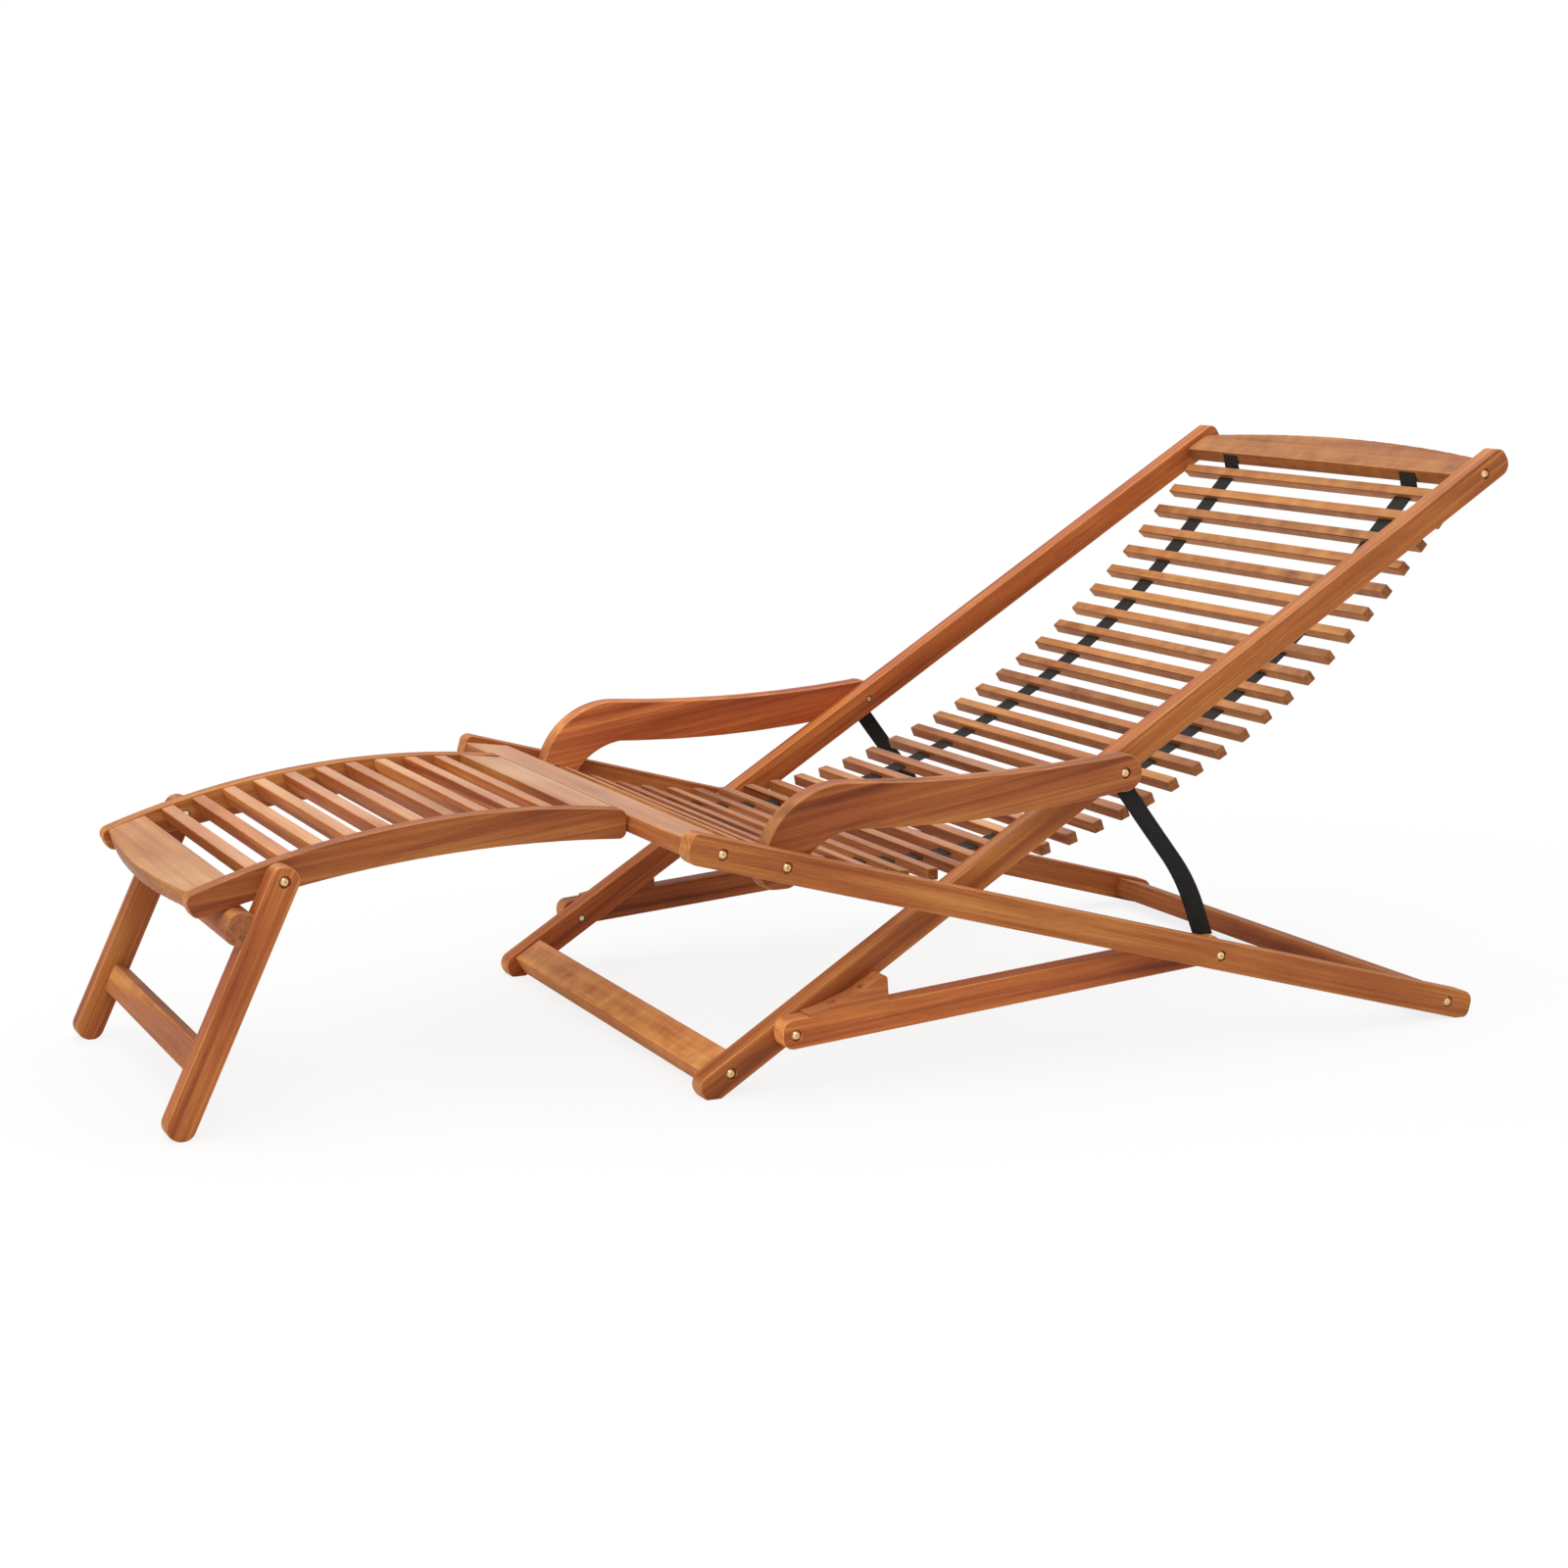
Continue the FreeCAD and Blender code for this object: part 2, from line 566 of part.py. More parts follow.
def sleeve_nut(name, spot, side, face):
    a, b = span(side, face + " + {nut_inset}", face + " + {nut_inset} + {nut_length}")
    outer = rod(name + "_outer", spot, a, b, "{nut_radius}")
    a, b = span(side, face, face + " + {nut_inset} + {nut_length} + {overrun}")
    inner = rod(name + "_bore", spot, a, b, "{hole_radius}")
    result = doc.addObject("Part::Cut", name)
    result.Base = outer
    result.Tool = inner
    return result


# Seat frame: two long rails, a front plank and a rear crossbar
seat_low = "-{seat_height} / 2"
seat_high = "{seat_height} / 2"
seat_corners = [
    (minus("{seat_nose}"), seat_low),
    ("{rear_bolt} + {seat_tail}", seat_low),
    ("{rear_bolt} + {seat_tail}", seat_high),
    (minus("{seat_nose}"), seat_high),
]
plank_spot = pivot("0", SEAT)
foot_spot = pivot("{arm_hole}", SEAT)
strut_spot = pivot("{strut_hole}", SEAT)
rear_spot = pivot("{rear_bolt}", SEAT)
for word, side in SIDES:
    y = "{seat_in}" if side > 0 else minus("{seat_out}")
    rail = board("seat_rail_%s_blank" % word, SEAT, y, "{board}", seat_corners,
                 [((0, 1, 2), "{seat_end_round}"), ((3,), "{seat_nose_round}")])
    tools = [floor_cut("seat_rail_" + word)]
    for tag, spot in (("plank", plank_spot), ("arm", foot_spot), ("strut", strut_spot),
                      ("rear", rear_spot)):
        tools += bolt_hole("seat_%s_%s" % (tag, word), spot, side, "{seat_in}", "{seat_out}",
                           sink_out=True)
    cut("seat_rail_" + word, rail, tools)

plank_corners = [
    (minus("{plank_width}"), minus("{seat_in}")),
    ("0", minus("{seat_in}")),
    ("0", "{seat_in}"),
    (minus("{plank_width}"), "{seat_in}", "{plank_curve}", 1),
]
seat_plank = plank("seat_plank_blank", PLANK, "{plank_thick}", plank_corners)


# Blind holes for the bolts in the two ends of a crosspiece
def end_holes(name, spot, half):
    tools = []
    for word, side in SIDES:
        a, b = span(side, half + " - {end_thread} - {overrun}", half + " + {overrun}")
        tools.append(rod("%s_end_%s" % (name, word), spot, a, b, "{hole_radius}"))
    return tools


def sling_point(distance):
    x = number("{plank_bolt_x} + {sling_start_x}")
    z = number("{plank_bolt_z} - {sling_start_drop}")
    turn = -math.radians(number("{sling_start_fall}"))
    stretches = [
        (number("{sling_hip_radius}"), number("{sling_hip_length}")),
        (number("{sling_back_radius}"), number("{sling_back_length}")),
    ]
    left = distance
    for radius, length in stretches:
        step = min(left, length)
        if step > 0:
            x += radius * (math.sin(turn + step / radius) - math.sin(turn))
            z -= radius * (math.cos(turn + step / radius) - math.cos(turn))
            turn += step / radius
            left -= step
    x += left * math.cos(turn) if left > 0 else 0
    z += left * math.sin(turn) if left > 0 else 0
    return V(x, 0, z), turn


def sling_middle(distance):
    point, turn = sling_point(distance)
    depth = number("{slat}") / 2
    return point + V(math.sin(turn), 0, -math.cos(turn)) * depth, turn


# Where the webbing leaves the plank and enters the headrest
plank_face = V(number("{plank_x}"), 0, number("{plank_z}"))
fall = math.radians(number("{plank_slope}"))
plank_down = V(-math.sin(fall), 0, -math.cos(fall))
web_exit = plank_face + plank_down * number("{web_exit_depth}")
head_up = V(math.cos(math.radians(number("{back_slope}"))), 0,
            math.sin(math.radians(number("{back_slope}"))))
head_over = V(-head_up.z, 0, head_up.x)
web_entry = (V(number("{head_x}"), 0, number("{head_z}")) - head_up * number("{head_low}")
             + head_over * number("{web_entry_rise}"))

slot_clear = "{web_thick} + 2 * {soft_gap}"
slot_wide = "{web_width} + 2 * {soft_gap}"


def web_slots(name, frame, run, rise, length):
    tools = []
    for word, side in SIDES:
        a, unused = span(side, "{web_offset} - {web_width} / 2 - {soft_gap}",
                         "{web_offset} + {web_width} / 2 + {soft_gap}")
        tools.append(block_tool("%s_slot_%s" % (name, word), frame, run, rise, a,
                                length, slot_wide, slot_clear))
    return tools


# A locating pin between footrest and seat plank, or the hole for it
def locating_rod(name, side, wider, longer):
    thing = doc.addObject("Part::Cylinder", name)
    bind(thing, Radius="{locating_radius} + " + wider, Height="2 * ({locating_reach} + %s)" % longer)
    thing.Placement = FreeCAD.Placement(V(0, 0, 0), FreeCAD.Rotation(V(0, 1, 0), 90))
    thing.setExpression("Placement.Base.x", bound("{joint_x} - {locating_reach} - " + longer))
    thing.setExpression("Placement.Base.y", bound("%d * {locating_half}" % side))
    thing.setExpression("Placement.Base.z", bound("{locating_z}"))
    return thing


plank_tools = end_holes("plank", plank_spot, "{seat_in}")
plank_tools += web_slots("plank", PLANK, minus("{slot_depth}"),
                         "-{web_exit_depth} - {web_thick} / 2 - {soft_gap}",
                         "{slot_depth} + {slot_overrun}")
for word, side in SIDES:
    plank_tools.append(locating_rod("plank_pin_hole_" + word, side, "{fit}", "{overrun}"))
cut("seat_plank", seat_plank, plank_tools)

rear_bar = bar("rear_crossbar_blank", REAR, minus("{crossbar_lead}"), "-{crossbar_thick} / 2",
               minus("{seat_in}"), "{crossbar_width}", "2 * {seat_in}", "{crossbar_thick}")
cut("rear_crossbar", rear_bar, end_holes("rear", rear_spot, "{seat_in}"))

# Back frame: two long rails crossing the seat rails, a lower crossbar and a headrest
back_low = "-{back_height} / 2"
back_high = "{back_height} / 2"
back_corners = [
    (minus("{back_foot}"), back_low),
    ("{head_bolt} + {back_tip}", back_low),
    ("{head_bolt} + {back_tip}", back_high),
    (minus("{back_foot}"), back_high),
]
low_spot = pivot("0", BACK)
strut_pin_spot = pivot("{strut_pin}", BACK)
nose_spot = pivot("{arm_pin}", BACK)
head_spot = pivot("{head_bolt}", BACK)
for word, side in SIDES:
    y = "{back_in}" if side > 0 else minus("{back_out}")
    rail = board("back_rail_%s_blank" % word, BACK, y, "{board}", back_corners,
                 [((0, 1, 3), "{back_end_round}"), ((2,), "{back_tip_round}")])
    tools = [floor_cut("back_rail_" + word)]
    for tag, spot in (("low", low_spot), ("head", head_spot)):
        tools += bolt_hole("back_%s_%s" % (tag, word), spot, side, "{back_in}", "{back_out}",
                           sink_out=True)
    for tag, spot in (("strut", strut_pin_spot), ("nose", nose_spot)):
        tools += bolt_hole("back_%s_%s" % (tag, word), spot, side, "{back_in}", "{back_out}",
                           sink_in=True)
    cut("back_rail_" + word, rail, tools)

low_bar = bar("lower_crossbar_blank", BACK, minus("{crossbar_lead}"), "-{crossbar_thick} / 2",
              minus("{back_in}"), "{crossbar_width}", "2 * {back_in}", "{crossbar_thick}")
cut("lower_crossbar", low_bar, end_holes("low", low_spot, "{back_in}"))

head_corners = [
    (minus("{head_low}"), minus("{back_in}")),
    ("{head_high}", minus("{back_in}"), "{head_curve}", 1),
    ("{head_high}", "{back_in}"),
    (minus("{head_low}"), "{back_in}"),
]
headrest = plank("headrest_blank", HEAD, "{head_thick}", head_corners, lift="{head_thick} / 2")
head_tools = end_holes("head", head_spot, "{back_in}")
head_tools += web_slots("head", HEAD, "-{head_low} - {slot_overrun}",
                        "{web_entry_rise} - {web_thick} / 2 - {soft_gap}",
                        "{slot_depth} + {slot_overrun}")
cut("headrest", headrest, head_tools)

# Armrests: bent boards from the seat rails up to the back rails
arm_corners = [
    ("{arm_length} - {arm_tip_ahead}", "{arm_nose} - {arm_tip_dip}", "{arm_top_radius}", -1),
    ("{arm_shoulder_ahead}", "{arm_shoulder_rise}", "{arm_front_radius}", 1),
    (minus("{arm_toe_ahead}"), minus("{arm_toe_drop}")),
    (minus("{arm_heel_ahead}"), minus("{arm_heel_drop}")),
    ("{arm_sole_behind}", minus("{arm_sole_drop}")),
    ("{arm_calf_behind}", minus("{arm_calf_drop}"), "{arm_neck_radius}", -1),
    ("{arm_neck_behind}", "{arm_neck_rise}", "{arm_low_radius}", 1),
    ("{arm_length} - {arm_chin_ahead}", minus("{arm_chin_drop}"), "{arm_nose}", 1),
    ("{arm_length} + {arm_nose}", "0", "{arm_nose}", 1),
]
strap_mid_y = "({arm_in} + {arm_out}) / 2"
for word, side in SIDES:
    y = "{arm_in}" if side > 0 else minus("{arm_out}")
    blank = board("armrest_%s_blank" % word, ARM, y, "{board}", arm_corners,
                  [((3, 4), "{arm_foot_round}")], rim=None)
    tools = bolt_hole("arm_foot_" + word, foot_spot, side, "{arm_in}", "{arm_out}", sink_in=True)
    tools += bolt_hole("arm_nose_" + word, nose_spot, side, "{arm_in}", "{arm_out}", sink_out=True)
    cut("armrest_" + word, blank, tools)

# Struts: low links from the back rails to the seat rails, each with a stop block
strut_low = "{strut_lift} - {strut_height} / 2"
strut_high = "{strut_lift} + {strut_height} / 2"
strut_corners = [
    (minus("{strut_end}"), strut_low),
    ("{strut_length} + {strut_end}", strut_low),
    ("{strut_length} + {strut_end}", strut_high),
    (minus("{strut_end}"), strut_high),
]
block_corners = [
    ("{block_start}", strut_high),
    ("{block_start} + {block_length}", strut_high),
    ("{block_start} + {block_length}", strut_high + " + {block_rise}", "{block_hollow}", -1),
    ("{block_start}", strut_high + " + {block_tip}"),
]
screw_face = strut_high + " + {block_sink}"
screw_runs = ("{block_screw_first}", "{block_screw_last}")
for word, side in SIDES:
    y = "{arm_in}" if side > 0 else minus("{arm_out}")
    blank = board("strut_%s_blank" % word, STRUT, y, "{board}", strut_corners,
                  [((0, 1, 2, 3), "{strut_end_round}")])
    tools = bolt_hole("strut_front_" + word, strut_pin_spot, side, "{arm_in}", "{arm_out}",
                      sink_out=True)
    tools += bolt_hole("strut_rear_" + word, strut_spot, side, "{arm_in}", "{arm_out}",
                       sink_in=True)
    wedge = board("stop_block_%s_blank" % word, STRUT, y, "{board}", block_corners,
                  [((2,), "{block_end_round}")], rim=None)
    middle = strap_mid_y if side > 0 else minus(strap_mid_y)
    wedge_tools = []
    for index, run in enumerate(screw_runs):
        for base, bits in (("strut", tools), ("block", wedge_tools)):
            hole = doc.addObject("Part::Cylinder", "%s_screw_hole_%s_%d" % (base, word, index))
            bind(hole, Radius="{screw_radius} + {fit}", Height="{screw_length} + {block_rise}")
            place(hole, along(STRUT, run, screw_face + " - {screw_length}"), middle)
            bits.append(hole)
        sink = doc.addObject("Part::Cylinder", "block_sink_%s_%d" % (word, index))
        bind(sink, Radius="{screw_head} + {screw_clear}", Height="{block_rise}")
        place(sink, along(STRUT, run, screw_face), middle)
        wedge_tools.append(sink)
    cut("strut_" + word, blank, tools)
    cut("stop_block_" + word, wedge, wedge_tools)

# Footrest: two bowed rails, ten slats and two planks between them
foot_corners = [
    (minus("{foot_front}"), "{foot_top_front_z}"),
    (minus("{foot_front_low}"), "{foot_low_front_z}", "{foot_low_radius}", -1),
    ("{foot_rear}", "{foot_low_rear_z}"),
    ("{foot_rear}", "{foot_top_rear_z}", "{foot_top_radius}", 1),
]
FOOT = ("{leg_x}", "{leg_z}", 1, LEVEL)
leg_spot = pivot("0", LEG)
for word, side in SIDES:
    y = "{foot_in}" if side > 0 else minus("{foot_half}")
    blank = board("footrest_rail_%s_blank" % word, FOOT, y, "{foot_board}", foot_corners,
                  [((0, 1), "{foot_front_round}"), ((2, 3), "{foot_rear_round}")])
    tools = bolt_hole("foot_leg_" + word, leg_spot, side, "{foot_in}", "{foot_half}",
                      sink_in=True)
    cut("footrest_rail_" + word, blank, tools)


def on_foot_arc(angle):
    return ("{foot_arc_x} + {foot_slat_arc} * sin(%s)" % angle,
            "{foot_arc_z} + {foot_slat_arc} * cos(%s)" % angle, 1, LEVEL + " + " + angle)


# A footrest slat seen from the front: the underside curves up to thinner ends at the rails
slat_corners = [
    (minus("{foot_in}"), minus("{foot_slat_end}"), "{foot_slat_curve}", 1),
    ("{foot_slat_run} - {foot_in}", minus("{foot_slat_height}")),
    ("{foot_in} - {foot_slat_run}", minus("{foot_slat_height}"), "{foot_slat_curve}", 1),
    ("{foot_in}", minus("{foot_slat_end}")),
    ("{foot_in}", "0"),
    (minus("{foot_in}"), "0"),
]


def long_upper(edge):
    ends = [v.Point for v in edge.Vertexes]
    return all(abs(p.z) < 0.01 for p in ends) and abs(ends[0].y - ends[-1].y) > 1


foot_slat_count = 10
for index in range(foot_slat_count):
    name = "footrest_slat_%02d" % (index + 1)
    body = doc.addObject("PartDesign::Body", name + "_body")
    sketch = outline(body, "YZ_Plane", slat_corners)
    pad = body.newObject("PartDesign::Pad", name + "_pad")
    pad.Profile = sketch
    pad.Midplane = True
    pad.Length = number("{foot_slat_width}")
    bind(pad, Length="{foot_slat_width}")
    body.Tip = pad
    doc.recompute()
    round_edges(body, pad, edges_through(pad.Shape, long_upper), "{foot_slat_round}",
                name + "_top")
    place(body, on_foot_arc("({foot_slat_first} + %d * {foot_slat_step})" % index))
    keep(name, body)

front_corners = [
    (minus("{front_plank_width}"), minus("{foot_in}")),
    ("0", minus("{foot_in}")),
    ("0", "{foot_in}"),
    (minus("{front_plank_width}"), "{foot_in}", "{front_plank_curve}", 1),
]
front_plank = plank("footrest_front_plank_body", on_foot_arc("({front_plank_angle})"),
                    "{foot_plank_thick}", front_corners)
keep("footrest_front_plank", front_plank)
REAR_PLANK = on_foot_arc("({rear_plank_angle})")
rear_plank = bar("footrest_rear_plank_blank", REAR_PLANK, minus("{rear_plank_width}"),
                 minus("{foot_plank_thick}"), minus("{foot_in}"),
                 "{rear_plank_width}", "2 * {foot_in}", "{foot_plank_thick}")
pin_tools = []
pins = []
for word, side in SIDES:
    pin_tools.append(locating_rod("rear_plank_pin_hole_" + word, side, "{fit}", "{overrun}"))
    pins.append(locating_rod("locating_pin_" + word, side, "0", "0"))
cut("footrest_rear_plank", rear_plank, pin_tools)
group("locating_pins", pins)

# Folding legs of the footrest with a crossbar and a stop bar
leg_low = "-{leg_height} / 2"
leg_high = "{leg_height} / 2"
leg_corners = [
    ("-{leg_height} / 2", leg_low),
    ("{leg_foot}", leg_low),
    ("{leg_foot}", leg_high),
    ("-{leg_height} / 2", leg_high),
]
for word, side in SIDES:
    y = "{leg_in}" if side > 0 else minus("{leg_out}")
    blank = board("footrest_leg_%s_blank" % word, LEG, y, "{board}", leg_corners,
                  [((0, 1, 2, 3), "{leg_round}")])
    tools = [floor_cut("footrest_leg_" + word)]
    tools += bolt_hole("leg_pivot_" + word, leg_spot, side, "{leg_in}", "{leg_out}",
                       sink_out=True)
    cut("footrest_leg_" + word, blank, tools)
leg_bar = bar("leg_crossbar_body", LEG, "{leg_bar_start}", "{leg_height} / 2 - {leg_bar_thick}",
              minus("{leg_in}"), "{leg_bar_length}", "2 * {leg_in}", "{leg_bar_thick}")
keep("leg_crossbar", leg_bar)
stop_corners = [
    ("{stop_start}", "-{leg_height} / 2 - {stop_thick}"),
    ("{stop_start} + {stop_length}", "-{leg_height} / 2 - {stop_thick}"),
    ("{stop_start} + {stop_length}", leg_low),
    ("{stop_start}", leg_low),
]
stop_bar = board("leg_stop_bar_blank", LEG, minus("{leg_out}"), "2 * {leg_out}", stop_corners,
                 [((0, 1), "{stop_round}")])
stop_tools = []
leg_screws = []
screw_run = "{stop_start} + {stop_length} / 2"
stop_face = "-{leg_height} / 2 - {stop_thick}"


# A countersunk wood screw along a frame's rise direction, head up or down
def screw(name, frame, y, facing):
    shank = doc.addObject("Part::Cylinder", name + "_shank")
    bind(shank, Radius="{screw_radius}", Height="{screw_length}")
    cone = doc.addObject("Part::Cone", name + "_cone")
    if facing > 0:
        bind(cone, Radius1="{screw_radius}", Radius2="{screw_head}", Height="{screw_cone}")
        place(shank, along(frame, "0", minus("{screw_length}")), y)
        place(cone, along(frame, "0", minus("{screw_cone}")), y)
    else:
        bind(cone, Radius1="{screw_head}", Radius2="{screw_radius}", Height="{screw_cone}")
        place(shank, frame, y)
        place(cone, frame, y)
    return joined(name, [shank, cone])


for word, side in SIDES:
    y = "({leg_in} + {leg_out}) / 2" if side > 0 else minus("({leg_in} + {leg_out}) / 2")
    start = along(LEG, screw_run, stop_face + " + {stop_sink}")
    mouth = doc.addObject("Part::Cylinder", "stop_mouth_" + word)
    bind(mouth, Radius="{screw_head} + {screw_clear}", Height="{stop_sink} + {overrun}")
    place(mouth, along(LEG, screw_run, stop_face + " - {overrun}"), y)
    sink = doc.addObject("Part::Cone", "stop_sink_" + word)
    bind(sink, Radius1="{screw_head} + {screw_clear}", Radius2="{screw_radius} + {screw_clear}",
         Height="{screw_cone}")
    place(sink, start, y)
    for where, run_up in (("bar", stop_tools), ("leg", None)):
        hole = doc.addObject("Part::Cylinder", "stop_%s_hole_%s" % (where, word))
        bind(hole, Radius="{screw_radius} + {fit}", Height="{screw_length} + 2 * {overrun}")
        place(hole, along(LEG, screw_run, stop_face + " - {overrun}"), y)
        if run_up is not None:
            run_up.append(hole)
        else:
            leg_node = [n for n in nodes if n.Label == "footrest_leg_" + word][0]
            leg_node.Tool.Shapes = leg_node.Tool.Shapes + [hole]
    stop_tools += [mouth, sink]
    leg_screws.append(screw("stop_screw_" + word, start, y, -1))
cut("leg_stop_bar", stop_bar, stop_tools)
group("stop_bar_screws", leg_screws)


# Sling: square slats threaded on two webbing straps, in a seat part and a back part
slat_count = 30
seat_slats = 14


def sling_slat(index):
    name = "sling_slat_%02d" % (index + 1)
    middle, turn = sling_middle(number("%d * {slat_step} + {slat} / 2" % index))
    body = doc.addObject("PartDesign::Body", name)
    block = body.newObject("PartDesign::AdditiveBox", name + "_block")
    sizes = (("Length", "{slat}"), ("Width", "2 * {slat_half}"), ("Height", "{slat}"))
    for key, text in sizes:
        setattr(block, key, number(text))
        block.setExpression(key, bound(text))
    body.Tip = block
    doc.recompute()
    chamfer = body.newObject("PartDesign::Chamfer", name + "_chamfer")
    chamfer.Base = (block, edges_through(block.Shape, lambda edge: True))
    chamfer.Size = number("{slat_chamfer}")
    bind(chamfer, Size="{slat_chamfer}")
    body.Tip = chamfer
    doc.recompute()
    for word, side in SIDES:
        slot = body.newObject("PartDesign::SubtractiveBox", "%s_slot_%s" % (name, word))
        bind(slot, Length="{slat} + 2 * {overrun}", Width=slot_wide, Height=slot_clear)
        slot.Length = number("{slat} + 2 * {overrun}")
        slot.Width = number(slot_wide)
        slot.Height = number(slot_clear)
        low = number("{slat_half} + %d * {web_offset} - (%s) / 2" % (side, slot_wide))
        slot.Placement = FreeCAD.Placement(
            V(-number("{overrun}"), low, number("{slat} / 2 - (%s) / 2" % slot_clear)),
            FreeCAD.Rotation())
        body.Tip = slot
    half = number("{slat}") / 2
    lean = FreeCAD.Rotation(V(0, -1, 0), math.degrees(turn))
    corner = middle + lean.multVec(V(-half, -number("{slat_half}"), -half))
    body.Placement = FreeCAD.Placement(corner, lean)
    return body


slats = [sling_slat(index) for index in range(slat_count)]
group("sling_seat_slats", slats[:seat_slats])
group("sling_back_slats", slats[seat_slats:])
doc.recompute()

# The webbing follows the middle of the slats as tangent arcs
past_slats = number("%d * {slat_step} + {slat} + {web_bend_after}" % (slat_count - 1))
knee = number("(%d - 0.5) * {slat_step} + {slat} / 2" % seat_slats)
hip_end = number("{sling_hip_length}")
back_end = number("{sling_hip_length} + {sling_back_length}")


# A strip of webbing: straight lead, arcs through three points each, then straight to the tail
def web_strip(stations, lead, straight_to, tail, side):
    half = number("{web_thick}") / 2
    middles = [sling_middle(s) for s in stations]

    def shifted(point, turn, up):
        return point + V(-math.sin(turn), 0, math.cos(turn)) * up

    sides = []
    for up in (half, -half):
        run = [shifted(p, t, up) for p, t in middles]
        pieces = []
        if lead is not None:
            toward = (middles[0][0] - lead).normalize()
            turn = math.atan2(toward.z, toward.x)
            pieces.append(Part.LineSegment(shifted(lead, turn, up), run[0]).toShape())
        for k in range(0, len(run) - 2, 2):
            pieces.append(Part.Arc(run[k], run[k + 1], run[k + 2]).toShape())
        if tail is not None:
            bend = shifted(*sling_middle(straight_to), up)
            pieces.append(Part.LineSegment(run[-1], bend).toShape())
            toward = (tail - sling_middle(straight_to)[0]).normalize()
            turn = math.atan2(toward.z, toward.x)
            pieces.append(Part.LineSegment(bend, shifted(tail, turn, up)).toShape())
        sides.append(pieces)
    starts = [pieces[0].Vertexes[0].Point for pieces in sides]
    finishes = [pieces[-1].Vertexes[-1].Point for pieces in sides]
    caps = [Part.LineSegment(starts[0], starts[1]).toShape(),
            Part.LineSegment(finishes[0], finishes[1]).toShape()]
    edges = Part.sortEdges(sides[0] + sides[1] + caps)[0]
    face = Part.Face(Part.Wire(edges))
    low = number("%d * {web_offset} - {web_width} / 2" % side)
    solid = face.extrude(V(0, number("{web_width}"), 0))
    solid.translate(V(0, low, 0))
    return solid


soft = number("{soft_gap}")
knee_gap = number("{web_knee_gap} / 2")


# Ends and middles of the arcs between two distances along the sling
def arc_stations(first, last):
    breaks = [first] + [hip_end] * (first < hip_end < last) + [last]
    stations = [first]
    for low, high in zip(breaks, breaks[1:]):
        stations += [(low + high) / 2, high]
    return stations


seat_run = arc_stations(0, knee - knee_gap)
back_run = arc_stations(knee + knee_gap, back_end)
web_start = web_exit + V(math.cos(fall), 0, -math.sin(fall)) * soft
web_finish = web_entry - head_up * number("{web_end_gap}")
web_nodes = (("sling_seat_webbing", seat_run, web_start, None),
             ("sling_back_webbing", back_run, None, web_finish))
for label, stations, lead, tail in web_nodes:
    strips = [web_strip(stations, lead, past_slats, tail, side) for unused, side in SIDES]
    feature = doc.addObject("Part::Feature", label + "_shape")
    feature.Shape = Part.makeCompound(strips)
    keep(label, feature)

# Side straps: flat webbing from the arm down to the strut, slack enough to bend to the rear
strap_turn = math.radians(number("{arm_angle}"))
arm_down = V(math.sin(strap_turn), 0, -math.cos(strap_turn))
strut_turn = math.radians(number("{strut_angle}"))
strut_up = V(-math.sin(strut_turn), 0, math.cos(strut_turn))
nose = V(number("{arm_nose_x} + {strap_behind}"), 0, number("{arm_nose_z}"))
strut_joint = V(number("{strut_rear_x}"), 0, number("{strut_rear_z}"))
strap_top = nose + arm_down * number("{arm_nose} + {strap_top_gap}")
strap_low = strut_joint + strut_up * (number(strut_high) + soft)
strap_chord = strap_low - strap_top
strap_out = V(-strap_chord.z, 0, strap_chord.x).normalize()
strap_corner = (strap_top + strap_chord * number("{strap_bow_place}")
                + strap_out * number("{strap_bow}"))
bend_first = strap_top + (strap_corner - strap_top) * number("{strap_bend_start} / {strap_bow_place}")
bend_last = strap_low + (strap_corner - strap_low) * number(
    "(1 - {strap_bend_end}) / (1 - {strap_bow_place})")
strap_half = V(number("{strap_width}") / 2 / abs(strap_chord.normalize().z), 0, 0)
for word, side in SIDES:
    edges = [Part.LineSegment(strap_top - strap_half, strap_top + strap_half).toShape(),
             Part.LineSegment(strap_low - strap_half, strap_low + strap_half).toShape()]
    for shift in (strap_half * -1, strap_half):
        bend = Part.BezierCurve()
        bend.setPoles([bend_first + shift, strap_corner + shift, bend_last + shift])
        edges += [Part.LineSegment(strap_top + shift, bend_first + shift).toShape(), bend.toShape(),
                  Part.LineSegment(bend_last + shift, strap_low + shift).toShape()]
    face = Part.Face(Part.Wire(Part.sortEdges(edges)[0]))
    solid = face.extrude(V(0, number("{web_thick}"), 0))
    solid.translate(V(0, side * number(strap_mid_y) - number("{web_thick}") / 2, 0))
    feature = doc.addObject("Part::Feature", "side_strap_%s_shape" % word)
    feature.Shape = solid
    keep("side_strap_" + word, feature)

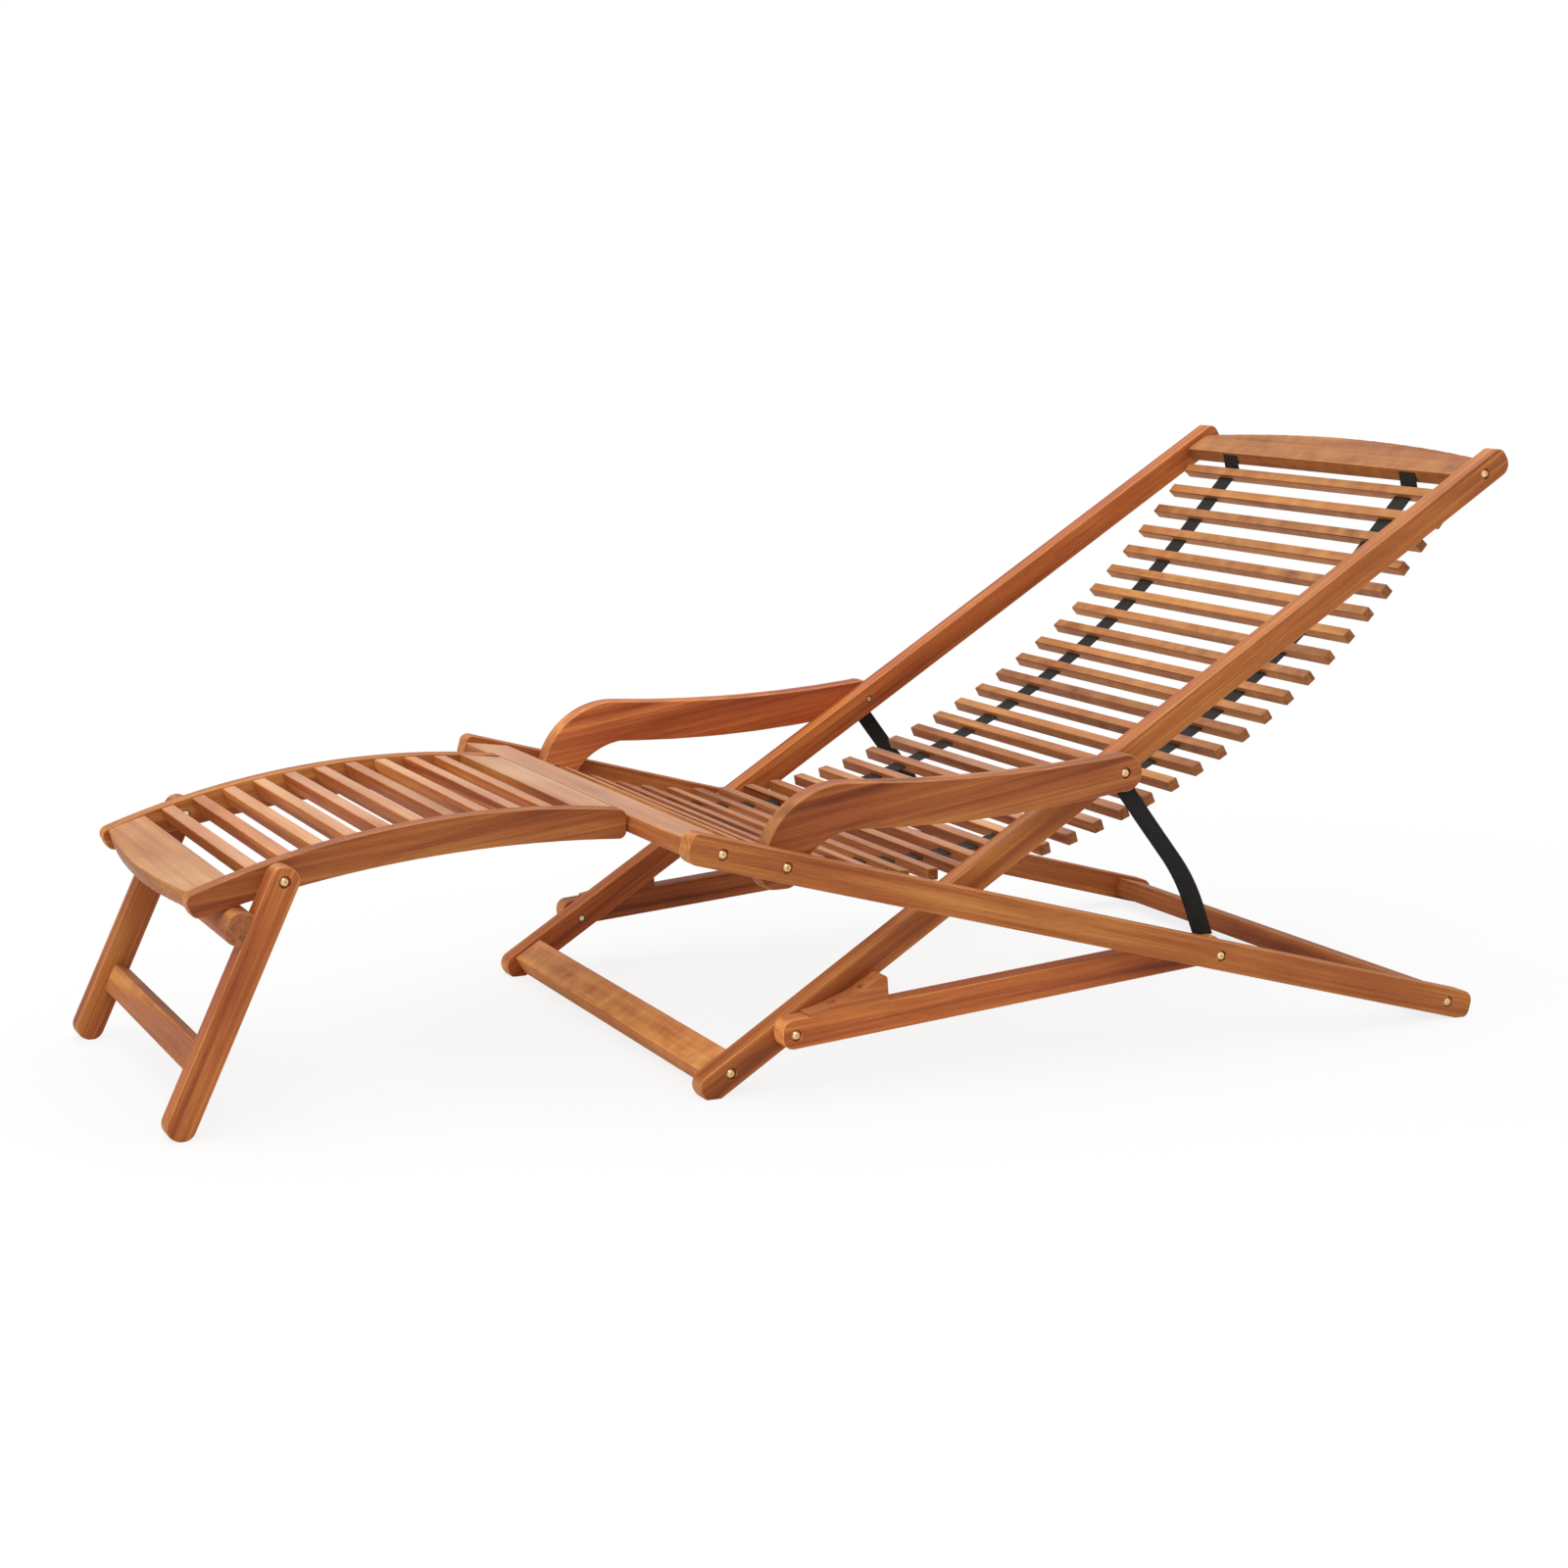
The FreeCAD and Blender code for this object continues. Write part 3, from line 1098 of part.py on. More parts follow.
# Fasteners, grouped by the body they travel with
seat_bolts = []
seat_screws = []
arm_bolts = []
arm_nuts = []
back_bolts = []
strut_bolts = []
strut_nuts = []
strut_studs = []
leg_bolts = []
leg_nuts = []
block_screws = []
for word, side in SIDES:
    for tag, spot in (("plank", plank_spot), ("rear", rear_spot)):
        seat_bolts.append(bolt("seat_bolt_%s_%s" % (tag, word), spot, side, "{seat_out}",
                               "{seat_in} - {end_thread}"))
    for tag, spot in (("low", low_spot), ("head", head_spot)):
        back_bolts.append(bolt("back_bolt_%s_%s" % (tag, word), spot, side, "{back_out}",
                               "{back_in} - {end_thread}"))
    seat_screws.append(bolt("strut_bolt_outer_" + word, strut_spot, side, "{seat_out}",
                            "{seat_in} + {stud_gap}"))
    arm_bolts.append(bolt("arm_bolt_foot_" + word, foot_spot, side, "{seat_out}",
                          "{arm_in} + {nut_inset}"))
    arm_bolts.append(bolt("arm_bolt_nose_" + word, nose_spot, side, "{arm_out}",
                          "{back_in} + {nut_inset}"))
    arm_nuts.append(sleeve_nut("arm_nut_foot_" + word, foot_spot, side, "{arm_in}"))
    arm_nuts.append(sleeve_nut("arm_nut_nose_" + word, nose_spot, side, "{back_in}"))
    strut_bolts.append(bolt("strut_bolt_" + word, strut_pin_spot, side, "{arm_out}",
                            "{back_in} + {nut_inset}"))
    strut_nuts.append(sleeve_nut("strut_nut_" + word, strut_pin_spot, side, "{back_in}"))
    strut_nuts.append(sleeve_nut("strut_nut_rear_" + word, strut_spot, side, "{arm_in}"))
    a, b = span(side, "{arm_in} + {nut_inset}", "{arm_out} - {stud_gap}")
    strut_studs.append(rod("strut_stud_" + word, strut_spot, a, b, "{bolt_radius}"))
    leg_bolts.append(bolt("leg_bolt_" + word, leg_spot, side, "{leg_out}",
                          "{foot_in} + {nut_inset}"))
    leg_nuts.append(sleeve_nut("leg_nut_" + word, leg_spot, side, "{foot_in}"))
    middle = strap_mid_y if side > 0 else minus(strap_mid_y)
    for index, run in enumerate(screw_runs):
        block_screws.append(screw("block_screw_%s_%d" % (word, index),
                                  along(STRUT, run, screw_face + " + {screw_cone}"), middle, 1))
group("seat_frame_bolts", seat_bolts)
group("strut_pivot_bolts", seat_screws)
group("arm_pivot_bolts", arm_bolts)
group("arm_pivot_nuts", arm_nuts)
group("back_frame_bolts", back_bolts)
group("strut_front_bolts", strut_bolts)
group("strut_pivot_nuts", strut_nuts)
group("strut_pivot_studs", strut_studs)
group("leg_pivot_bolts", leg_bolts)
group("leg_pivot_nuts", leg_nuts)
group("stop_block_screws", block_screws)

doc.recompute()
for thing in doc.Objects:
    if "Invalid" in thing.State or "Error" in thing.State:
        raise RuntimeError("object %s is %s" % (thing.Label, thing.State))
for node in nodes:
    if node.Shape.isNull() or not node.Shape.isValid():
        raise RuntimeError("node %s has no valid shape" % node.Label)
for node in nodes:
    node.Shape.exportStep("parts/%s.step" % node.Label)
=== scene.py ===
import math
import random

import bmesh
import bpy
from mathutils import Matrix, Vector


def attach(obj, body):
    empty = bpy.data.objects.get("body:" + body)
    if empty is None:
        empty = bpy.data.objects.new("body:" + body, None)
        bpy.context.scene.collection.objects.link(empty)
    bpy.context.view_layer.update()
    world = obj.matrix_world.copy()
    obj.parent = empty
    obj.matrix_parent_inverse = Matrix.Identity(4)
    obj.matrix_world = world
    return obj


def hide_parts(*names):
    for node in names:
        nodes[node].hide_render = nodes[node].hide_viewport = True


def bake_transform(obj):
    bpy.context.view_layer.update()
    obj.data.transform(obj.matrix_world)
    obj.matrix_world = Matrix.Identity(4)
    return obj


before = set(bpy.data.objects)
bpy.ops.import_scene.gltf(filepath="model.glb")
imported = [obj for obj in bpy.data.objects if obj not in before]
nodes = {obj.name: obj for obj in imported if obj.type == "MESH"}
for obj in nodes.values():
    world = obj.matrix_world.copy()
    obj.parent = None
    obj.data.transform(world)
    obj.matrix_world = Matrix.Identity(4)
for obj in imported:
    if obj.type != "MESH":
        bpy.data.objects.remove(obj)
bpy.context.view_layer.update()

random.seed(11)

# Side view of the chair in metres: pivot bolts as (x, z), and the slopes of its boards
PLANK_BOLT = (-0.22916, 0.2627)
ARM_FOOT = (-0.15901, 0.2436)
ARM_NOSE = (0.24786, 0.30676)
STRUT_REAR = (0.35826, 0.10277)
HEAD_BOLT = (0.72491, 0.60857)
SEAT_FALL = math.radians(15.23)
BACK_RISE = math.radians(32.32)
ARM_RISE = math.radians(8.82)
STRUT_RISE = math.radians(4.56)
LEG_TURN = math.radians(114.9)
FOOT_SLOPE = 0.12

# Sling: square slats on two webbing lengths, along two tangent arcs (radius, length)
SLAT = 0.0125
SLAT_STEP = 0.033883
SLAT_COUNT = 30
SEAT_SLATS = 14
SLING_START = (0.0707, -0.0123)
SLING_FALL = math.radians(21.4)
SLING_ARCS = ((0.5666, 0.3777), (0.9157, 0.504))
WEB_WIDTH = 0.030
WEB_OFFSET = 0.181
WEB_THICK = 0.0016
WEB_PAST = 0.001
WEB_EDGE = 0.55
WEB_COLUMNS = (-0.5, -0.42, -0.2, 0.2, 0.42, 0.5)

# Slots that take the ends of the sling webbing, in the seat plank's rear edge and the
# headrest's lower edge
PLANK_EDGE = (0.0182, 0.009)
PLANK_FALL = math.radians(8)
PLANK_THICK = 0.018
PLANK_SLOT_SHARE = 0.42
PLANK_TUCK = (0.008, 0, -0.003)
HEAD_SLOT_DOWN = 0.0175
HEAD_SLOT_OVER = 0.0045
HEAD_TUCK = 0.007

# Side straps between the arm's lower edge and the strut's top edge
SIDE_WIDTH = 0.021
SIDE_OFFSET = 0.3135
SIDE_NOSE_SHIFT = 0.0025
SIDE_TOP_DROP = 0.0195
SIDE_LOW_RISE = 0.0165
SIDE_CORNER = 0.68
SIDE_CORNER_OUT = 0.0135
SIDE_STRAIGHT_TOP = 0.48
SIDE_STRAIGHT_LOW = 0.12
SIDE_EDGE = 0.5
SIDE_COLUMNS = (-0.5, -0.42, 0, 0.42, 0.5)
SIDE_WAVE = 0.0006
SIDE_WAVE_ANGLE = 9.4

# Camera at the photograph's viewpoint
SENSOR = 36
LENS = 65.947
SHIFT = (-0.0031, -0.0079)
EYE = (-1.35174, -2.88143, 0.8175)
EYE_RIGHT = (0.90469, -0.42605, 0.00239)
EYE_FORWARD = (0.42037, 0.89169, -0.16786)


def add_camera():
    data = bpy.data.cameras.new("camera")
    data.sensor_width = SENSOR
    data.lens = LENS
    data.shift_x, data.shift_y = SHIFT
    data.clip_end = 60
    camera = bpy.data.objects.new("camera", data)
    right = Vector(EYE_RIGHT).normalized()
    forward = Vector(EYE_FORWARD).normalized()
    up = right.cross(forward).normalized()
    turn = Matrix((right, up, -forward)).transposed()
    camera.matrix_world = Matrix.Translation(EYE) @ turn.to_4x4()
    bpy.context.scene.collection.objects.link(camera)
    bpy.context.scene.camera = camera


add_camera()


# One material with short calls for its shader nodes
class Tree:
    def __init__(self, name):
        self.material = bpy.data.materials.new(name)
        self.material.use_nodes = True
        self.nodes = self.material.node_tree.nodes
        self.links = self.material.node_tree.links
        self.shader = self.nodes["Principled BSDF"]

    def add(self, kind, **settings):
        node = self.nodes.new(kind)
        for key, value in settings.items():
            setattr(node, key, value)
        return node

    def join(self, source, target):
        self.links.new(source, target)

    def maths(self, operation, a, b=None, c=None, clamp=False):
        node = self.add("ShaderNodeMath", operation=operation, use_clamp=clamp)
        for slot, value in zip(node.inputs, (a, b, c)):
            if value is None:
                continue
            if isinstance(value, (int, float)):
                slot.default_value = value
            else:
                self.join(value, slot)
        return node.outputs[0]

    def vector(self, operation, a, b):
        node = self.add("ShaderNodeVectorMath", operation=operation)
        for slot, value in zip(node.inputs, (a, b)):
            if isinstance(value, (tuple, Vector)):
                slot.default_value = value
            else:
                self.join(value, slot)
        return node.outputs["Value"] if operation == "DOT_PRODUCT" else node.outputs[0]

    def noise(self, place, scale, detail=3.0, rough=0.5, distortion=0.0):
        node = self.add("ShaderNodeTexNoise")
        node.inputs["Scale"].default_value = scale
        node.inputs["Detail"].default_value = detail
        node.inputs["Roughness"].default_value = rough
        node.inputs["Distortion"].default_value = distortion
        self.join(place, node.inputs["Vector"])
        return node.outputs["Fac"]

    def ramp(self, factor, stops):
        node = self.add("ShaderNodeValToRGB")
        while len(node.color_ramp.elements) < len(stops):
            node.color_ramp.elements.new(0.5)
        for element, (place, colour) in zip(node.color_ramp.elements, stops):
            element.position = place
            element.color = (*colour, 1)
        self.join(factor, node.inputs[0])
        return node.outputs[0]

    def mix(self, factor, a, b, blend="MIX"):
        node = self.add("ShaderNodeMix", data_type="RGBA", blend_type=blend)
        for slot, value in ((node.inputs[0], factor), (node.inputs[6], a), (node.inputs[7], b)):
            if isinstance(value, (int, float)):
                slot.default_value = value
            elif isinstance(value, tuple):
                slot.default_value = (*value, 1)
            else:
                self.join(value, slot)
        return node.outputs[2]

    def bump(self, height, strength, distance):
        node = self.add("ShaderNodeBump")
        node.inputs["Strength"].default_value = strength
        node.inputs["Distance"].default_value = distance
        self.join(height, node.inputs["Height"])
        return node.outputs[0]


# Colours of the oiled hardwood, from its darkest grain to its worn rims with a painted highlight
# and its sawn faces, with a painted sheen for the upper faces and painted shade for a seam
BLACK = (0, 0, 0)
WHITE = (1, 1, 1)
DEEP = (0.165, 0.036, 0.009)
RED = (0.290, 0.074, 0.018)
MID = (0.378, 0.112, 0.025)
GOLD = (0.510, 0.196, 0.045)
PALE = (0.660, 0.330, 0.100)
TOP_SHEEN_COLOUR = (0.60, 0.40, 0.28)
END_DARK = (0.31, 0.100, 0.024)
END_PALE = (0.48, 0.202, 0.060)
SEAM_SHADE = (0.075, 0.026, 0.010)
SEAM_SHADE_WIDTH = 0.0025
STREAKS = ((0.33, (0.50, 0.40, 0.34)), (0.44, WHITE))
PORE_SHADE = ((0.30, (0.50, 0.44, 0.40)), (0.40, WHITE))
SLAT_SHADES = ((0.0, (0.68, 0.58, 0.52)), (0.45, (0.95, 0.93, 0.90)), (1.0, (1.08, 1.16, 1.10)))
GRADES = ((0.33, DEEP), (0.43, RED), (0.51, MID), (0.60, GOLD), (0.74, PALE))
END_GRADES = ((0.36, END_DARK), (0.64, END_PALE))

# Patterns of the grain: scale along it and across it, detail, roughness, distortion
CLOUD = (3.2, 9, 2.0, 0.5, 0.4)
BROAD = (1.5, 44, 3.0, 0.5, 0.8)
FIGURE = (2.6, 170, 4.0, 0.62, 0.6)
FIBRE = (13, 700, 3.0, 0.6, 0.0)
PORES = (60, 1700, 1.0, 0.5, 0.0)
RINGS = (0.1, 170, 3.0, 0.55, 0.8)

# Shares of the patterns in the shade, and strengths of the marks laid over it
CLOUD_SHARE = 0.32
BROAD_SHARE = 0.34
FIGURE_SHARE = 0.34
FIBRE_SHARE = 0.16
SLAT_SHARE = 0.13
STREAK_STRENGTH = 0.45
PORE_STRENGTH = 0.45
RIM_WEAR_AND_HIGHLIGHT_STRENGTH = 0.80
SEAM_SHADE_STRENGTH = 0.95
END_STRENGTH = 0.9
WOOD_SHEEN = 0.24
WOOD_RELIEF = (0.30, 0.0006)


# A colour made lighter or darker, with less green where it is redder
def tinted(colour, amount, red):
    return tuple(min(1, c * amount * k) for c, k in zip(colour, (1, 1 / red, 1)))


def tinted_stops(stops, amount, red):
    return [(place, tinted(colour, amount, red)) for place, colour in stops]


# Oiled hardwood with its grain along one direction of the chair, with a painted sheen on its
# upper faces, painted shade along a seam and rings on the sawn ends
def wood(name, grain, tone, red, seed, sawn, top_sheen, ends=0.8, per_slat=False, shaded_seam=None):
    tree = Tree(name)
    along = Vector(grain).normalized()
    side = Vector(sawn)
    side = (side - along * side.dot(along)).normalized()
    over = along.cross(side)
    place = tree.add("ShaderNodeTexCoord").outputs["Object"]
    geometry = tree.add("ShaderNodeNewGeometry")
    island = geometry.outputs["Random Per Island"] if per_slat else None
    parts = []
    for axis, shift in ((along, seed * 3.1), (side, seed * 1.7), (over, seed * 0.9)):
        value = tree.vector("DOT_PRODUCT", place, axis)
        if per_slat:
            value = tree.maths("ADD", value, tree.maths("MULTIPLY", island, 7.3))
        parts.append(tree.maths("ADD", value, shift))

    def pattern(run, across, detail, rough, distortion):
        node = tree.add("ShaderNodeCombineXYZ")
        for slot, value, scale in zip(node.inputs, parts, (run, across, across)):
            tree.join(tree.maths("MULTIPLY", value, scale), slot)
        return tree.noise(node.outputs[0], 1.0, detail, rough, distortion)

    # Grain, from the coarse patterns to the fine ones
    cloud, broad, figure, fibre, pores = (
        pattern(*field) for field in (CLOUD, BROAD, FIGURE, FIBRE, PORES))
    shade = tree.maths("MULTIPLY_ADD", cloud, CLOUD_SHARE,
                       tree.maths("MULTIPLY", broad, BROAD_SHARE))
    shade = tree.maths("MULTIPLY_ADD", figure, FIGURE_SHARE, shade)
    shade = tree.maths("MULTIPLY_ADD", tree.maths("SUBTRACT", fibre, 0.5), FIBRE_SHARE, shade)
    if per_slat:
        change = tree.maths("SUBTRACT", island, 0.5)
        shade = tree.maths("MULTIPLY_ADD", change, SLAT_SHARE, shade)
    colour = tree.ramp(shade, tinted_stops(GRADES, tone, red))
    colour = tree.mix(STREAK_STRENGTH, colour, tree.ramp(broad, STREAKS), "MULTIPLY")
    if per_slat:
        spread = tree.maths("FRACT", tree.maths("MULTIPLY", island, 5.7))
        colour = tree.mix(1.0, colour, tree.ramp(spread, SLAT_SHADES), "MULTIPLY")
    colour = tree.mix(PORE_STRENGTH, colour, tree.ramp(pores, PORE_SHADE), "MULTIPLY")

    # Rims, where the face turns away from the board's three directions: pale with wear and a
    # painted highlight; on a board with a seam, dark with painted shade instead
    normal = geometry.outputs["Normal"]
    facing = [tree.maths("ABSOLUTE", tree.vector("DOT_PRODUCT", normal, axis))
              for axis in (along, side, over)]
    flat = tree.maths("MAXIMUM", facing[0], tree.maths("MAXIMUM", facing[1], facing[2]))
    rim_wear_and_highlight = tree.ramp(flat, ((0.80, WHITE), (0.985, BLACK)))
    patch = tree.maths("MULTIPLY_ADD", tree.noise(place, 38, 2.0), 1.2, -0.15, clamp=True)
    rim_wear_and_highlight = tree.maths("MULTIPLY", rim_wear_and_highlight, tree.maths("MULTIPLY", patch, RIM_WEAR_AND_HIGHLIGHT_STRENGTH))
    colour = tree.mix(rim_wear_and_highlight, colour, SEAM_SHADE if shaded_seam else tinted(PALE, tone * 1.05, 1.0))

    # Painted sheen in patches on the upper faces, a lighter colour for the light they reflect
    # from above
    upward = tree.ramp(tree.vector("DOT_PRODUCT", normal, (0, 0, 1)),
                       ((0.80, BLACK), (0.95, WHITE)))
    patch = tree.maths("MULTIPLY_ADD", cloud, 1.6, -0.1, clamp=True)
    painted_sheen = tree.maths("MULTIPLY", patch, top_sheen)
    colour = tree.mix(tree.maths("MULTIPLY", upward, painted_sheen), colour, TOP_SHEEN_COLOUR)

    # Painted shade along the joint with the next board
    if shaded_seam:
        lengthwise = tree.vector("DOT_PRODUCT", place, (1, 0, 0))
        away = tree.maths("ABSOLUTE", tree.maths("SUBTRACT", lengthwise, shaded_seam))
        line = tree.maths("MULTIPLY_ADD", away, -1 / SEAM_SHADE_WIDTH, 1.6, clamp=True)
        colour = tree.mix(tree.maths("MULTIPLY", line, SEAM_SHADE_STRENGTH), colour, SEAM_SHADE)

    # Sawn ends
    end = tree.ramp(facing[0], ((0.60, BLACK), (0.90, WHITE)))
    end_colour = tree.ramp(pattern(*RINGS), tinted_stops(END_GRADES, tone * ends, red))
    colour = tree.mix(tree.maths("MULTIPLY", end, END_STRENGTH), colour, end_colour)
    tree.join(colour, tree.shader.inputs["Base Color"])

    # Sheen and relief
    rough = tree.maths("MULTIPLY_ADD", fibre, 0.20, 0.36)
    rough = tree.maths("MULTIPLY_ADD", cloud, 0.12, rough)
    tree.join(rough, tree.shader.inputs["Roughness"])
    tree.shader.inputs["Specular IOR Level"].default_value = WOOD_SHEEN
    height = tree.maths("MULTIPLY_ADD", fibre, 0.5, tree.maths("MULTIPLY", figure, 0.5))
    height = tree.maths("MULTIPLY_ADD", pores, 0.35, height)
    tree.join(tree.bump(height, *WOOD_RELIEF), tree.shader.inputs["Normal"])
    return tree.material


# How close other faces are where the metal takes painted shade, and its relief
RECESS_SHADE_REACH = 0.0011
METAL_RELIEF = (0.12, 0.0002)


# Plated metal with painted shade in its recesses and gaps
def metal(name, low, high, recess_shade):
    tree = Tree(name)
    place = tree.add("ShaderNodeTexCoord").outputs["Object"]
    wear = tree.noise(place, 900, 3.0)
    blotch = tree.noise(place, 160, 2.0)
    colour = tree.ramp(blotch, ((0.35, low), (0.65, high)))
    hollow = tree.add("ShaderNodeAmbientOcclusion", samples=8)
    hollow.inputs["Distance"].default_value = RECESS_SHADE_REACH
    open_part = tree.ramp(hollow.outputs["AO"], ((0.18, BLACK), (0.42, WHITE)))
    colour = tree.mix(open_part, recess_shade, colour)
    tree.join(colour, tree.shader.inputs["Base Color"])
    tree.shader.inputs["Metallic"].default_value = 1.0
    tree.join(tree.maths("MULTIPLY_ADD", wear, 0.25, 0.20), tree.shader.inputs["Roughness"])
    tree.join(tree.bump(wear, *METAL_RELIEF), tree.shader.inputs["Normal"])
    return tree.material


# Ribs and yarns per metre of a strap, cords over its width, slant of the yarns, relief
RIBS = 430
YARNS = 900
CORDS = 22
YARN_SLANT = 0.030
WEB_RELIEF = (0.6, 0.0005)


# Black webbing: ribs across the strap and a herringbone of yarns, from the strap's own UVs
def webbing(name, colour, ribbed):
    tree = Tree(name)
    uv = tree.add("ShaderNodeUVMap").outputs[0]
    split = tree.add("ShaderNodeSeparateXYZ")
    tree.join(uv, split.inputs[0])
    run, across = split.outputs[0], split.outputs[1]
    rib = tree.maths("SINE", tree.maths("MULTIPLY", run, RIBS * 2 * math.pi))
    slant = tree.maths("ABSOLUTE", tree.maths("SUBTRACT", across, 0.5))
    yarn = tree.maths("SINE", tree.maths(
        "MULTIPLY", tree.maths("MULTIPLY_ADD", slant, YARN_SLANT, run), YARNS * 2 * math.pi))
    cross = tree.maths("SINE", tree.maths("MULTIPLY", across, CORDS * 2 * math.pi))
    weave = tree.maths("MULTIPLY_ADD", yarn, 0.8 - ribbed, tree.maths("MULTIPLY", rib, ribbed))
    weave = tree.maths("MULTIPLY_ADD", cross, 0.2, weave)
    fuzz = tree.noise(tree.add("ShaderNodeTexCoord").outputs["Object"], 700, 2.0)
    shade = tree.maths("MULTIPLY_ADD", weave, 0.5, fuzz)
    # The colour follows the weave's relief, lighter on its crests and darker in its grooves:
    # painted highlight and shade on the ribs and yarns
    low = tuple(c * 0.35 for c in colour)
    high = tuple(c * 3.0 for c in colour)
    tree.join(tree.ramp(shade, ((0.15, low), (0.5, colour), (0.95, high))),
              tree.shader.inputs["Base Color"])
    tree.shader.inputs["Roughness"].default_value = 0.75
    tree.shader.inputs["Specular IOR Level"].default_value = 0.22
    tree.join(tree.bump(shade, *WEB_RELIEF), tree.shader.inputs["Normal"])
    return tree.material


BRASS = metal("plated_bolt", (0.86, 0.60, 0.30), (0.97, 0.80, 0.52), (0.06, 0.036, 0.016))
# The nuts' dark colour is partly painted shade, for the shadowed recess round them
DULL = metal("dark_nut", (0.060, 0.040, 0.022), (0.13, 0.095, 0.055), (0.02, 0.014, 0.008))
STRAP = webbing("strap_webbing", (0.017, 0.015, 0.013), 0.45)
SIDE_STRAP = webbing("side_strap_webbing", (0.010, 0.009, 0.0085), 0.75)

# Directions of the boards
seat_dir = (math.cos(SEAT_FALL), 0, -math.sin(SEAT_FALL))
back_dir = (math.cos(BACK_RISE), 0, math.sin(BACK_RISE))
arm_dir = (math.cos(ARM_RISE), 0, math.sin(ARM_RISE))
strut_dir = (math.cos(STRUT_RISE), 0, math.sin(STRUT_RISE))
leg_dir = (math.cos(LEG_TURN), 0, -math.sin(LEG_TURN))
foot_dir = (1, 0, FOOT_SLOPE)
ACROSS = (0, 1, 0)
FLAT = (0, 0, 1)
FOOTREST_SLATS = 10

# Node name, grain direction, tone, redness
WOODS = [
    ("seat_rail_left", seat_dir, 0.98, 1.05), ("seat_rail_right", seat_dir, 1.02, 1.02),
    ("back_rail_left", back_dir, 1.27, 1.05), ("back_rail_right", back_dir, 1.06, 1.0),
    ("armrest_left", arm_dir, 1.26, 1.20), ("armrest_right", arm_dir, 0.90, 1.08),
    ("strut_left", strut_dir, 1.10, 1.03), ("strut_right", strut_dir, 1.44, 1.02),
    ("stop_block_left", strut_dir, 0.98, 1.1), ("stop_block_right", strut_dir, 1.10, 1.06),
    ("footrest_rail_left", foot_dir, 1.0, 1.0), ("footrest_rail_right", foot_dir, 0.86, 1.05),
    ("footrest_leg_left", leg_dir, 0.98, 1.05), ("footrest_leg_right", leg_dir, 1.06, 1.08),
    ("seat_plank", ACROSS, 1.0, 1.02), ("rear_crossbar", ACROSS, 0.95, 1.05),
    # The lower crossbar's high tone is partly painted light, lifting the shade that the seat
    # casts on the bar
    ("lower_crossbar", ACROSS, 1.50, 1.03), ("headrest", ACROSS, 0.84, 1.02),
    ("footrest_front_plank", ACROSS, 0.94, 0.92), ("footrest_rear_plank", ACROSS, 1.10, 0.92),
    ("leg_crossbar", ACROSS, 1.10, 1.0), ("leg_stop_bar", ACROSS, 1.0, 1.10),
]
for index in range(1, FOOTREST_SLATS + 1):
    WOODS.append(("footrest_slat_%02d" % index, ACROSS, 1.12 + 0.18 * random.random(),
                  0.98 + 0.09 * random.random()))

# Gap that is welded, width difference that counts as none, room round a bolt hole, rounding
# of the arms' rims, and the angles from which corners stay crisp
WELD_GAP = 0.00002
SAME_WIDTH = 1e-5
HOLE_CLEAR = 0.009
ARM_RIM = 0.0025
BOARD_CREASE = math.radians(32)
STRAP_CREASE = math.radians(40)


# Marks the outline edges of a board whose rims are to be rounded, but not its bolt holes
def mark_rims(mesh, spots):
    marks = mesh.attributes.new("bevel_weight_edge", "FLOAT", "EDGE")
    scan = bmesh.new()
    scan.from_mesh(mesh)
    values = []
    for edge in scan.edges:
        a, b = (v.co for v in edge.verts)
        middle = (a + b) / 2
        near = any(math.hypot(middle.x - x, middle.z - z) < HOLE_CLEAR for x, z in spots)
        values.append(float(edge.is_boundary and abs(a.y - b.y) < SAME_WIDTH and not near))
    scan.free()
    marks.data.foreach_set("value", values)


def crease(piece, angle):
    split = piece.modifiers.new("crisp corners", "EDGE_SPLIT")
    split.split_angle = angle


# Gives a piece its material and smooth shading between crisp corners, and rounds its rims
def finish(name, material, rim=0, spots=()):
    piece = nodes[name]
    piece.data.materials.clear()
    piece.data.materials.append(material)
    piece.data.shade_smooth()
    weld = piece.modifiers.new("weld", "WELD")
    weld.merge_threshold = WELD_GAP
    if rim:
        mark_rims(piece.data, spots)
        merge = piece.modifiers.new("flat faces", "DECIMATE")
        merge.decimate_type = "DISSOLVE"
        merge.angle_limit = math.radians(1)
        bevel = piece.modifiers.new("worn edges", "BEVEL")
        bevel.width = rim
        bevel.segments = 3
        bevel.limit_method = "WEIGHT"
        bevel.use_clamp_overlap = False
    crease(piece, BOARD_CREASE)


# Brightness of the sawn ends, painted sheen on the upper faces and place of a seam with painted
# shade, by the start of a board's name
ENDS = {"seat_rail": 1.30, "back_rail": 1.45, "strut": 1.45, "footrest_rail": 1.45,
        "leg_stop_bar": 0.72}
TOP_SHEEN_AMOUNTS = {"footrest_slat": 0.65, "footrest_front": 0.45, "footrest_rear": 0.68, "seat_plank": 0.62,
         "headrest": 0.0, "lower_crossbar": 0.35}
SHADED_SEAMS = {"footrest_rear_plank": -0.2694}
USUAL_END = 0.90
USUAL_TOP_SHEEN = 0.10
SEED_STEP = 0.73


def by_name(table, name, usual):
    return next((value for part, value in table.items() if name.startswith(part)), usual)


